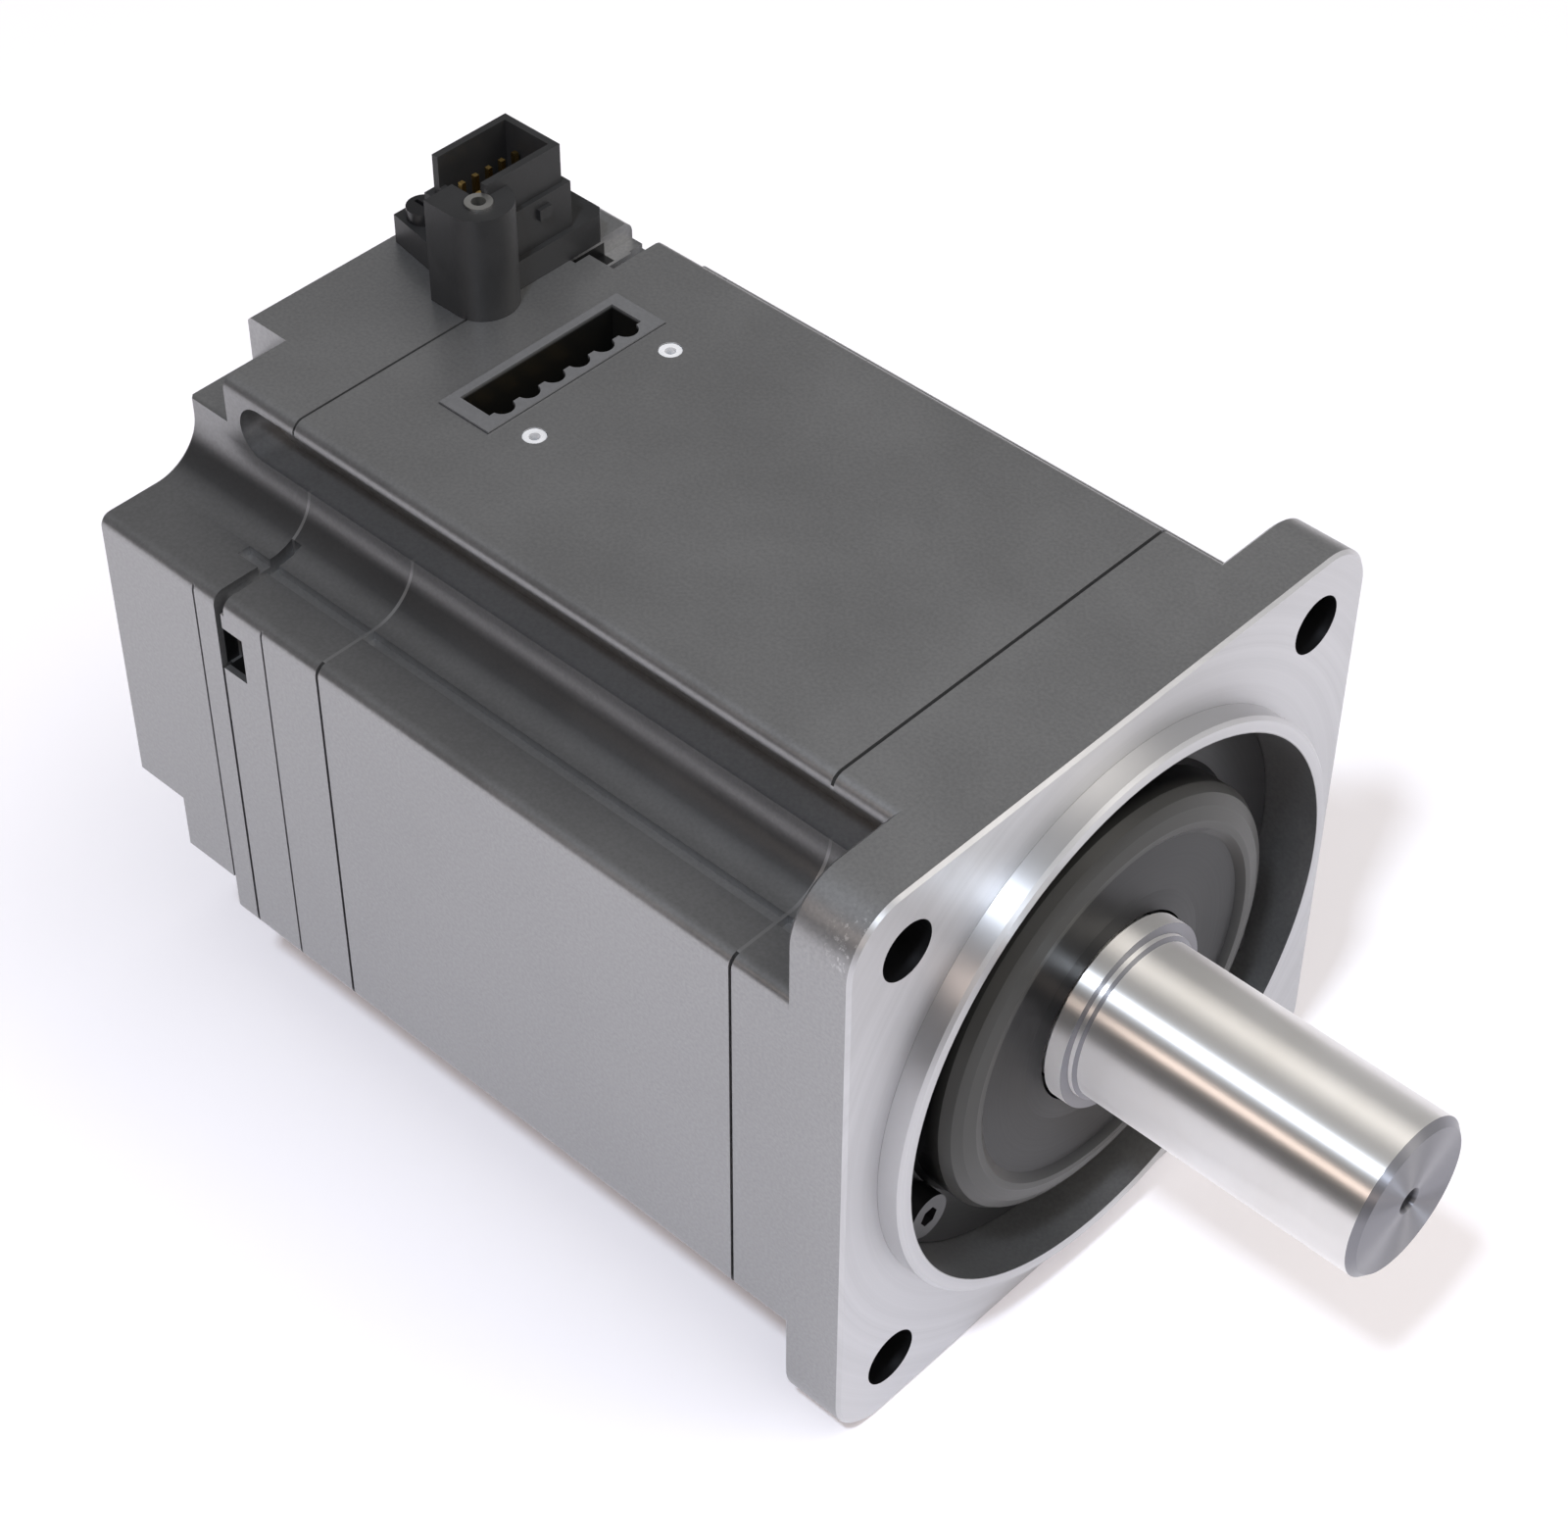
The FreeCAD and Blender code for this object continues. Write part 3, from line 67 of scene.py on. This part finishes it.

# Small pockets beside the joint of the rear cover, darkened with painted shade.
POCKET_BACK, POCKET_FRONT = -0.0942, -0.0880
POCKET_NEAR, POCKET_FAR = 0.0150, 0.0212
POCKET_BOTTOM, POCKET_MOUTH = 0.0310, 0.0392

# Flange and pilot ring.
BEHIND_FLANGE = -0.0081
FACE_BACK = -0.0009
PILOT_BACK = 0.00005
RECESS_RADIUS = 0.0333
BOLT_CIRCLE_RADIUS = 0.045
BOLT_OFFSET = BOLT_CIRCLE_RADIUS * math.sqrt(0.5)
BOLT_HOLE_RADIUS = 0.0035
BOLT_HOLE_MARGIN = 0.00016
WORN_CORNER = (-0.0003, -0.0378, 0.0368)
WORN_FULL, WORN_NONE = 0.0022, 0.0045

# Front bearing cover: the rounded edge round its face, where a highlight is painted, lies between these
# radii.
SHOULDER_INNER_START, SHOULDER_INNER_END = 0.0205, 0.0222
SHOULDER_OUTER_START, SHOULDER_OUTER_END = 0.0262, 0.0268
SHOULDER_LOW, SHOULDER_HIGH = -0.0012, 0.0004

# Deck's top face, where the flush connector's rim ends, and the painted shade disc over the centre hole
# in the shaft's end.
SOCKET_RIM_LOW, SOCKET_RIM_HIGH = 0.0397, 0.0401
CENTRE_SHADE_INNER, CENTRE_SHADE_OUTER = 0.0012, 0.0016

# Noise textures keep mostly between these two values.
NOISE_LOW, NOISE_HIGH = 0.35, 0.65
TURNING_MARKS = 5200
QUARTER_TURN = 0.25


# ---------------------------------------------------------------- camera

def place_camera():
    """Camera above the output end, on the motor's -Y side."""
    back = Vector((
        math.sin(CAMERA_AZIMUTH) * math.cos(CAMERA_ELEVATION),
        -math.cos(CAMERA_AZIMUTH) * math.cos(CAMERA_ELEVATION),
        math.sin(CAMERA_ELEVATION),
    ))
    level = Vector((0, 0, 1)).cross(back).normalized()
    upright = back.cross(level)
    right = level * math.cos(CAMERA_ROLL) + upright * math.sin(CAMERA_ROLL)
    up = upright * math.cos(CAMERA_ROLL) - level * math.sin(CAMERA_ROLL)
    data = bpy.data.cameras.new("camera")
    data.sensor_width = CAMERA_SENSOR
    data.sensor_fit = "HORIZONTAL"
    data.lens = CAMERA_LENS
    data.clip_start = 0.01
    data.clip_end = 20.0
    camera = bpy.data.objects.new("camera", data)
    turn = Matrix((right, up, back)).transposed().to_4x4()
    camera.matrix_world = Matrix.Translation(CAMERA_PLACE) @ turn
    bpy.context.scene.collection.objects.link(camera)
    bpy.context.scene.camera = camera


# ---------------------------------------------------------------- node helpers

class Nodes:
    """Small helpers for wiring one node tree."""

    def __init__(self, tree, place):
        self.tree = tree
        self.place = self.new("ShaderNodeTexCoord").outputs[place]

    def new(self, kind, **settings):
        node = self.tree.nodes.new(kind)
        for name, value in settings.items():
            setattr(node, name, value)
        return node

    def join(self, source, node, socket):
        self.tree.links.new(source, node.inputs[socket])

    def split(self, vector):
        """The X, Y and Z parts of a vector."""
        node = self.new("ShaderNodeSeparateXYZ")
        self.join(vector, node, "Vector")
        return [node.outputs[axis] for axis in "XYZ"]

    def noise(self, scale, detail, rough, stretch=(1, 1, 1), place=None):
        mapping = self.new("ShaderNodeMapping")
        mapping.inputs["Scale"].default_value = stretch
        self.join(place or self.place, mapping, "Vector")
        noise = self.new("ShaderNodeTexNoise")
        noise.inputs["Scale"].default_value = scale
        noise.inputs["Detail"].default_value = detail
        noise.inputs["Roughness"].default_value = rough
        self.join(mapping.outputs["Vector"], noise, "Vector")
        return noise.outputs["Fac"]

    def span(self, source, low, high, out_low=0.0, out_high=1.0):
        """Carry the range low to high over to the range out_low to out_high."""
        node = self.new("ShaderNodeMapRange")
        limits = {"From Min": low, "From Max": high, "To Min": out_low, "To Max": out_high}
        for socket, value in limits.items():
            node.inputs[socket].default_value = value
        self.join(source, node, "Value")
        return node.outputs["Result"]

    def spread(self, noise, out_low=0.0, out_high=1.0):
        """Carry a noise's usual range over to the range out_low to out_high."""
        return self.span(noise, NOISE_LOW, NOISE_HIGH, out_low, out_high)

    def mix(self, factor, first, second):
        """First colour where the factor is 0, second where it is 1."""
        node = self.new("ShaderNodeMix", data_type="RGBA")
        self.join(factor, node, "Factor")
        for socket, value in (("A", first), ("B", second)):
            target = [s for s in node.inputs if s.name == socket and s.type == "RGBA"][0]
            if isinstance(value, (tuple, list)):
                target.default_value = (*value[:3], 1.0)
            else:
                self.tree.links.new(value, target)
        return [s for s in node.outputs if s.type == "RGBA"][0]

    def maths(self, operation, *values):
        node = self.new("ShaderNodeMath", operation=operation)
        for index, value in enumerate(values):
            if isinstance(value, (int, float)):
                node.inputs[index].default_value = value
            else:
                self.tree.links.new(value, node.inputs[index])
        return node.outputs[0]

    def size(self, value):
        """A value without its sign."""
        return self.maths("ABSOLUTE", value)

    def every(self, *masks):
        """1 where every mask is 1, and 0 where any is 0."""
        result = masks[0]
        for mask in masks[1:]:
            result = self.maths("MULTIPLY", result, mask)
        return result

    def between(self, value, low, high):
        """1 where the value is between the two limits."""
        return self.every(self.maths("GREATER_THAN", value, low), self.maths("LESS_THAN", value, high))


class Shader(Nodes):
    """One procedural material, built round its principled shader."""

    def __init__(self, name, **sockets):
        self.material = bpy.data.materials.new(name)
        self.material.use_nodes = True
        super().__init__(self.material.node_tree, "Object")
        self.shader = self.tree.nodes["Principled BSDF"]
        for socket, value in sockets.items():
            self.shader.inputs[socket.replace("_", " ")].default_value = value

    def feed(self, socket, source):
        self.join(source, self.shader, socket)

    def bump(self, height, strength, distance):
        """Add a layer of relief on top of those already there."""
        node = self.new("ShaderNodeBump")
        node.inputs["Strength"].default_value = strength
        node.inputs["Distance"].default_value = distance
        self.join(height, node, "Height")
        previous = self.shader.inputs["Normal"].links
        if previous:
            self.tree.links.new(previous[0].from_socket, node.inputs["Normal"])
        self.feed("Normal", node.outputs["Normal"])


def scaled(colour, factor):
    return tuple(min(1.0, c * factor) for c in colour)


# ---------------------------------------------------------------- where things lie on the motor

def notch_parts(m):
    """Larger and smaller distance from the motor's two middle planes, and the place along its axis."""
    along, wide, tall = m.split(m.place)
    wide = m.size(wide)
    tall = m.size(tall)
    return m.maths("MAXIMUM", wide, tall), m.maths("MINIMUM", wide, tall), along


def radius_of(m):
    """Distance from the motor's axis."""
    _, wide, tall = m.split(m.place)
    square = m.maths("ADD", m.maths("POWER", m.size(wide), 2.0), m.maths("POWER", m.size(tall), 2.0))
    return m.maths("SQRT", square)


def facing_ahead(m):
    """How far the surface faces along +X, from -1 to 1."""
    return m.split(m.new("ShaderNodeNewGeometry").outputs["Normal"])[0]


# ---------------------------------------------------------------- wear, shade and marks

def pocket_shade(m):
    """Mask for the painted shade inside the small pockets beside the cover joint."""
    reach, low, along = notch_parts(m)
    return m.every(
        m.between(along, POCKET_BACK, POCKET_FRONT),
        m.between(low, POCKET_NEAR, POCKET_FAR),
        m.between(reach, POCKET_BOTTOM, POCKET_MOUTH),
    )


def notch_shade(m, colour):
    """The colour given, with painted shade darkening it in the rounded valleys of the corner notches."""
    _, low, _ = notch_parts(m)
    return m.mix(m.span(low, VALLEY_LOW_START, VALLEY_LOW_END, 0, VALLEY_SHADE_SHARE), colour, VALLEY_SHADE_COLOUR)


def specks(m):
    """Small bright scratches and rubbed spots, only where a mask lets them through."""
    fine = m.noise(1500, 4, 0.75, stretch=(0.6, 1, 1))
    patch = m.noise(90, 3, 0.6)
    return m.every(m.span(fine, 0.72, 0.76), m.span(patch, 0.60, 0.68, 0, 0.7))


def corner_wear(m):
    """Rubbed paint on the flange's upper corner on the -Y side."""
    corner = m.new("ShaderNodeVectorMath", operation="DISTANCE")
    m.join(m.place, corner, "Vector")
    corner.inputs[1].default_value = WORN_CORNER
    near = m.span(corner.outputs["Value"], WORN_FULL, WORN_NONE, 1, 0)
    return m.every(m.span(m.noise(1500, 3, 0.7), 0.56, 0.62, 0, 0.8), near)


def mottled_paint(m, colour, cloud, grain):
    mottle = m.maths("ADD", m.maths("MULTIPLY", cloud, 0.5), grain)
    return m.mix(m.span(mottle, 0.55, 0.95), scaled(colour, 0.92), scaled(colour, 1.08))


def rings(m, density):
    """Turning marks: noise that changes with the radius only."""
    join = m.new("ShaderNodeCombineXYZ")
    m.join(radius_of(m), join, "X")
    return m.noise(density, 3, 0.7, place=join.outputs["Vector"])


def around_axis(m):
    """Point the shading direction round the motor's axis, as the turning marks run."""
    tangent = m.new("ShaderNodeTangent", direction_type="RADIAL", axis="X")
    m.feed("Tangent", tangent.outputs["Tangent"])
    m.shader.inputs["Anisotropic Rotation"].default_value = QUARTER_TURN


def marked_roughness(m, marks, cloud, low, high, share=0.6):
    """Roughness that follows the marks, and also a broad cloud, by its share."""
    both = m.maths("ADD", marks, m.maths("MULTIPLY", cloud, share))
    m.feed("Roughness", m.span(both, 0.5, 1.1, low, high))


# ---------------------------------------------------------------- materials

def painted(name, colour, rough=0.34):
    """Satin metallic paint on a casting: orange peel, faint grain, a few specks of wear, and painted
    shade in the notch valleys and the small pockets.
    """
    m = Shader(name, Metallic=PAINT_METALLIC, Specular_IOR_Level=0.5, Coat_Weight=0.1, Coat_Roughness=0.2)
    cloud = m.noise(45, 5, 0.6)
    grain = m.noise(2400, 2, 0.5)
    peel = m.noise(800, 3, 0.5)
    base = m.mix(specks(m), notch_shade(m, mottled_paint(m, colour, cloud, grain)), SPECK_COLOUR)
    # Painted shade darkens the small pockets beside the cover joint.
    m.feed("Base Color", m.mix(pocket_shade(m), base, POCKET_SHADE_COLOUR))
    m.feed("Roughness", m.spread(cloud, rough - 0.03, rough + 0.04))
    m.bump(peel, 0.12, 0.00004)
    m.bump(grain, 0.12, 0.00002)
    return m.material


def plain(name, colour, rough, metal=0.0, scale=1500, strength=0.15, **more):
    """Moulded or plated surface with fine texture and slight colour variation."""
    m = Shader(name, Metallic=metal, **more)
    cloud = m.noise(120, 4, 0.6)
    fine = m.noise(scale, 3, 0.5)
    m.feed("Base Color", m.mix(m.spread(cloud), scaled(colour, 0.88), scaled(colour, 1.12)))
    m.feed("Roughness", m.spread(cloud, rough * 0.85, rough * 1.15))
    m.bump(fine, strength, 0.00003)
    return m.material


def socket_plastic(name, rim, inside):
    """The flush connector: its rim is rubbed to the deck's tone and its cells are dark."""
    m = Shader(name, Metallic=0.5)
    _, _, height = m.split(m.place)
    fine = m.noise(2400, 3, 0.5)
    top = m.span(height, SOCKET_RIM_LOW, SOCKET_RIM_HIGH)
    m.feed("Base Color", m.mix(top, inside, m.mix(fine, scaled(rim, 0.9), scaled(rim, 1.1))))
    m.feed("Roughness", m.spread(fine, 0.36, 0.42))
    m.bump(fine, 0.2, 0.00002)
    return m.material


def joint_line(name, paint):
    """Gasket: black on the body's outer faces, painted over where it crosses the corner notches."""
    m = Shader(name)
    reach, _, _ = notch_parts(m)
    outer = m.maths("GREATER_THAN", reach, OUTER_FACE_REACH)
    m.feed("Base Color", m.mix(outer, paint, JOINT_COLOUR))
    m.feed("Metallic", m.span(outer, 0, 1, PAINT_METALLIC, 0.0))
    m.feed("Roughness", m.span(outer, 0, 1, 0.35, 0.8))
    m.bump(m.noise(2200, 3, 0.5), 0.15, 0.00002)
    return m.material


def turned(name, colour, rough):
    """Lathe-turned metal: circular marks about the motor's axis."""
    m = Shader(name, Metallic=1.0, Anisotropic=0.7)
    around_axis(m)
    marks = rings(m, TURNING_MARKS)
    m.feed("Base Color", m.mix(m.spread(rings(m, 700)), scaled(colour, 0.86), colour))
    marked_roughness(m, marks, m.noise(55, 4, 0.6), rough - 0.08, rough + 0.1)
    m.bump(marks, 0.35, 0.00003)
    return m.material


def pressed_cover(name, face, shoulder_highlight):
    """Black coated cover: near black on its face, and lighter where a highlight is painted on the rounded
    edge round its face.
    """
    m = Shader(name, Anisotropic=0.6, Specular_IOR_Level=0.2)
    around_axis(m)
    marks = rings(m, 2600)
    radius = radius_of(m)
    along, _, _ = m.split(m.place)
    cloud = m.noise(90, 4, 0.6)
    # Painted highlight: the band on the rounded edge round the face is lighter.
    band = m.every(
        m.span(radius, SHOULDER_INNER_START, SHOULDER_INNER_END),
        m.span(radius, SHOULDER_OUTER_END, SHOULDER_OUTER_START),
        m.span(along, SHOULDER_LOW, SHOULDER_HIGH),
    )
    black = m.mix(m.spread(cloud), scaled(face, 0.85), scaled(face, 1.2))
    m.feed("Base Color", m.mix(band, black, shoulder_highlight))
    marked_roughness(m, marks, cloud, 0.28, 0.4)
    m.bump(marks, 0.12, 0.00002)
    return m.material


def bare_faces(m):
    """1 on the flange's mounting face and its pilot ring, which are machined after painting."""
    along, _, _ = m.split(m.place)
    outside = m.maths("GREATER_THAN", radius_of(m), RECESS_RADIUS)
    facing = m.maths("GREATER_THAN", facing_ahead(m), 0.6)
    ahead = m.maths("GREATER_THAN", along, FACE_BACK)
    pilot = m.every(m.maths("GREATER_THAN", along, PILOT_BACK), outside)
    return m.maths("MAXIMUM", m.every(facing, ahead, outside), pilot)


def bolt_bore_shade(m):
    """1 on the walls of the four bolt holes, which painted shade darkens."""
    _, wide, tall = m.split(m.place)
    aside = m.maths("SUBTRACT", m.size(wide), BOLT_OFFSET)
    above = m.maths("SUBTRACT", m.size(tall), BOLT_OFFSET)
    away = m.maths("ADD", m.maths("MULTIPLY", aside, aside), m.maths("MULTIPLY", above, above))
    inside = m.maths("LESS_THAN", away, (BOLT_HOLE_RADIUS + BOLT_HOLE_MARGIN) ** 2)
    return m.every(inside, m.maths("LESS_THAN", facing_ahead(m), 0.4))


def flange_paint(name, paint, metal):
    """The flange: paint all over, except the faces that were machined after painting; painted shade
    darkens the notch valleys behind the flange and the bolt holes.
    """
    m = Shader(name, Specular_IOR_Level=0.5)
    around_axis(m)
    bare = bare_faces(m)
    marks = rings(m, TURNING_MARKS)
    cloud = m.noise(45, 5, 0.6)
    grain = m.noise(2400, 2, 0.5)
    along, _, _ = m.split(m.place)
    coat = mottled_paint(m, paint, cloud, grain)
    # Painted shade darkens the notch valleys behind the flange.
    coat = m.mix(m.maths("LESS_THAN", along, BEHIND_FLANGE), coat, notch_shade(m, coat))
    coat = m.mix(m.maths("MAXIMUM", corner_wear(m), specks(m)), coat, WORN_COLOUR)
    # Painted shade darkens the walls of the bolt holes.
    coat = m.mix(bolt_bore_shade(m), coat, BORE_SHADE_COLOUR)
    turned_metal = m.mix(m.spread(rings(m, 420)), scaled(metal, 0.9), metal)
    m.feed("Base Color", m.mix(bare, coat, turned_metal))
    m.feed("Metallic", m.span(bare, 0, 1, PAINT_METALLIC, 1.0))
    m.feed("Anisotropic", m.maths("MULTIPLY", bare, 0.9))
    blend = m.new("ShaderNodeMix", data_type="FLOAT")
    m.join(bare, blend, "Factor")
    m.join(m.spread(cloud, 0.31, 0.38), blend, "A")
    m.join(m.span(marks, 0.3, 0.7, 0.34, 0.44), blend, "B")
    m.feed("Roughness", blend.outputs["Result"])
    m.bump(m.maths("MULTIPLY", marks, bare), 0.25, 0.00003)
    m.bump(m.maths("MULTIPLY", grain, m.maths("SUBTRACT", 1.0, bare)), 0.12, 0.00002)
    return m.material


def ground_shaft(name):
    """Ground steel: fine marks round the shaft, painted shade that darkens the end face, and a darker
    painted shade disc over the centre hole.
    """
    m = Shader(name, Metallic=1.0, Anisotropic=1.0)
    around_axis(m)
    around = m.noise(1.0, 3, 0.7, stretch=(9000, 60, 60))
    cloud = m.noise(60, 4, 0.6)
    side = m.mix(m.spread(cloud), (0.78, 0.765, 0.745), (0.84, 0.83, 0.82))
    # Painted shade: the end face is darker than the side, and darkest over the centre hole.
    outside_centre_shade = m.span(radius_of(m), CENTRE_SHADE_INNER, CENTRE_SHADE_OUTER)
    end = m.mix(outside_centre_shade, (0.04, 0.04, 0.045), (0.26, 0.26, 0.28))
    m.feed("Base Color", m.mix(m.span(facing_ahead(m), 0.35, 0.6), side, end))
    marked_roughness(m, around, cloud, 0.40, 0.45, share=0.5)
    m.bump(around, 0.03, 0.00001)
    return m.material


def dress_nodes():
    """Procedural material for every node carried over from the frame."""
    made = {
        "painted_casting": painted("satin_paint", PAINT),
        "stator_paint": painted("satin_paint_frame", PAINT),
        "machined_aluminium": turned("turned_aluminium", ALUMINIUM, 0.3),
        # The black cover's second colour is a painted highlight on the rounded edge round its face.
        "black_cover": pressed_cover("glossy_black", (0.005, 0.005, 0.0055), (0.046, 0.0455, 0.043)),
        "black_screw": plain("black_oxide", (0.014, 0.014, 0.015), 0.3, metal=0.2),
        "zinc_screw": plain("zinc_plate", (0.62, 0.62, 0.60), 0.3, metal=1.0),
        "ground_steel": ground_shaft("ground_steel"),
        "bearing_steel": plain("bearing_steel", (0.68, 0.68, 0.70), 0.14, metal=1.0, strength=0.05),
        "spring_steel": plain("spring_steel", (0.42, 0.42, 0.43), 0.3, metal=1.0),
        "seal_rubber": plain("seal_rubber", (0.015, 0.015, 0.015), 0.6, scale=2200, strength=0.3),
        "gasket": joint_line("joint_line", PAINT),
        "lamination": plain("lamination_steel", (0.30, 0.30, 0.31), 0.42, metal=1.0),
        "copper_wire": plain("enamelled_copper", (0.55, 0.20, 0.07), 0.3, metal=0.9, Coat_Weight=0.5),
        "insulator": plain("cream_plastic", (0.70, 0.67, 0.58), 0.45),
        "magnet": plain("nickel_plate", (0.52, 0.52, 0.53), 0.25, metal=1.0),
        "sleeve": plain("steel_band", (0.58, 0.58, 0.58), 0.25, metal=1.0),
        "board": plain("solder_mask", (0.012, 0.10, 0.035), 0.35, Coat_Weight=0.3),
        "black_plastic": plain("black_plastic", (0.020, 0.020, 0.0205), 0.46, scale=2400, strength=0.3,
                               Specular_IOR_Level=0.35),
        "contact_brass": plain("contact_brass", (0.72, 0.50, 0.18), 0.28, metal=1.0),
        "disc_glass": plain("disc_glass", (0.7, 0.78, 0.78), 0.12, strength=0.02),
    }
    own = {
        "front_bracket": flange_paint("flange_paint", PAINT, ALUMINIUM),
        "power_connector": socket_plastic("socket_plastic", (0.20, 0.20, 0.205), (0.012, 0.012, 0.011)),
        "threaded_inserts": plain("bright_insert", (0.72, 0.72, 0.73), 0.35, metal=0.2),
    }
    slots = {part["node"]: part["material_slot"] for part in frame["record"]["subparts"]}
    for node, thing in frame["nodes"].items():
        thing.data.materials.clear()
        thing.data.materials.append(own.get(node, made[slots[node]]))


# ---------------------------------------------------------------- floor and light

def add_floor():
    """Wide white floor under the motor."""
    data = bpy.data.meshes.new("floor")
    corners = [(-1, -1), (1, -1), (1, 1), (-1, 1)]
    data.from_pydata([(x * FLOOR_HALF, y * FLOOR_HALF, FLOOR_Z) for x, y in corners], [], [(0, 1, 2, 3)])
    floor = bpy.data.objects.new("floor", data)
    bpy.context.scene.collection.objects.link(floor)
    m = Shader("floor_white", Roughness=0.6, Emission_Strength=0.17)
    m.shader.inputs["Emission Color"].default_value = (1.0, 0.9, 0.95, 1.0)
    m.feed("Base Color", m.mix(m.noise(3, 2, 0.5), (0.80, 0.79, 0.81), (0.84, 0.83, 0.85)))
    data.materials.append(m.material)


def add_light(name, place, size, power, colour):
    """Area light that shines on the motor."""
    data = bpy.data.lights.new(name, "AREA")
    data.shape = "RECTANGLE"
    data.size, data.size_y = size
    data.energy = power
    data.color = colour
    lamp = bpy.data.objects.new(name, data)
    lamp.location = place
    lamp.rotation_euler = (-Vector(place)).to_track_quat("-Z", "Y").to_euler()
    bpy.context.scene.collection.objects.link(lamp)


def light_scene():
    """Soft room light: bright ahead of the motor, dim behind it, and a dark band low on its -Y side."""
    world = bpy.data.worlds.new("world")
    bpy.context.scene.world = world
    world.use_nodes = True
    m = Nodes(world.node_tree, "Generated")
    along, beside, height = m.split(m.place)
    ahead = m.span(along, -0.42, 0.3, 0.21, 1.0)
    low = m.span(height, 0.62, 0.82, 1.0, 0.0)
    on_that_side = m.span(beside, -0.6, -0.2, 1.0, 0.0)
    band = m.span(m.every(low, on_that_side), 0.0, 1.0, 1.0, 0.2)
    background = world.node_tree.nodes["Background"]
    background.inputs["Color"].default_value = (1.0, 0.985, 0.975, 1.0)
    m.join(m.maths("MULTIPLY", ahead, band), background, "Strength")
    add_light("lamp", (0.14, -0.46, 0.86), (0.09, 0.09), 6.0, (0.80, 0.88, 1.0))
    add_light("warm", (0.05, -0.95, 0.62), (0.9, 0.16), 2.4, (1.0, 0.82, 0.72))
    add_light("key", (0.5, 0.6, 1.2), (0.9, 0.9), 5.5, (1.0, 0.95, 0.88))


bpy.context.scene.view_settings.view_transform = "Standard"
place_camera()
dress_nodes()
add_floor()
light_scene()
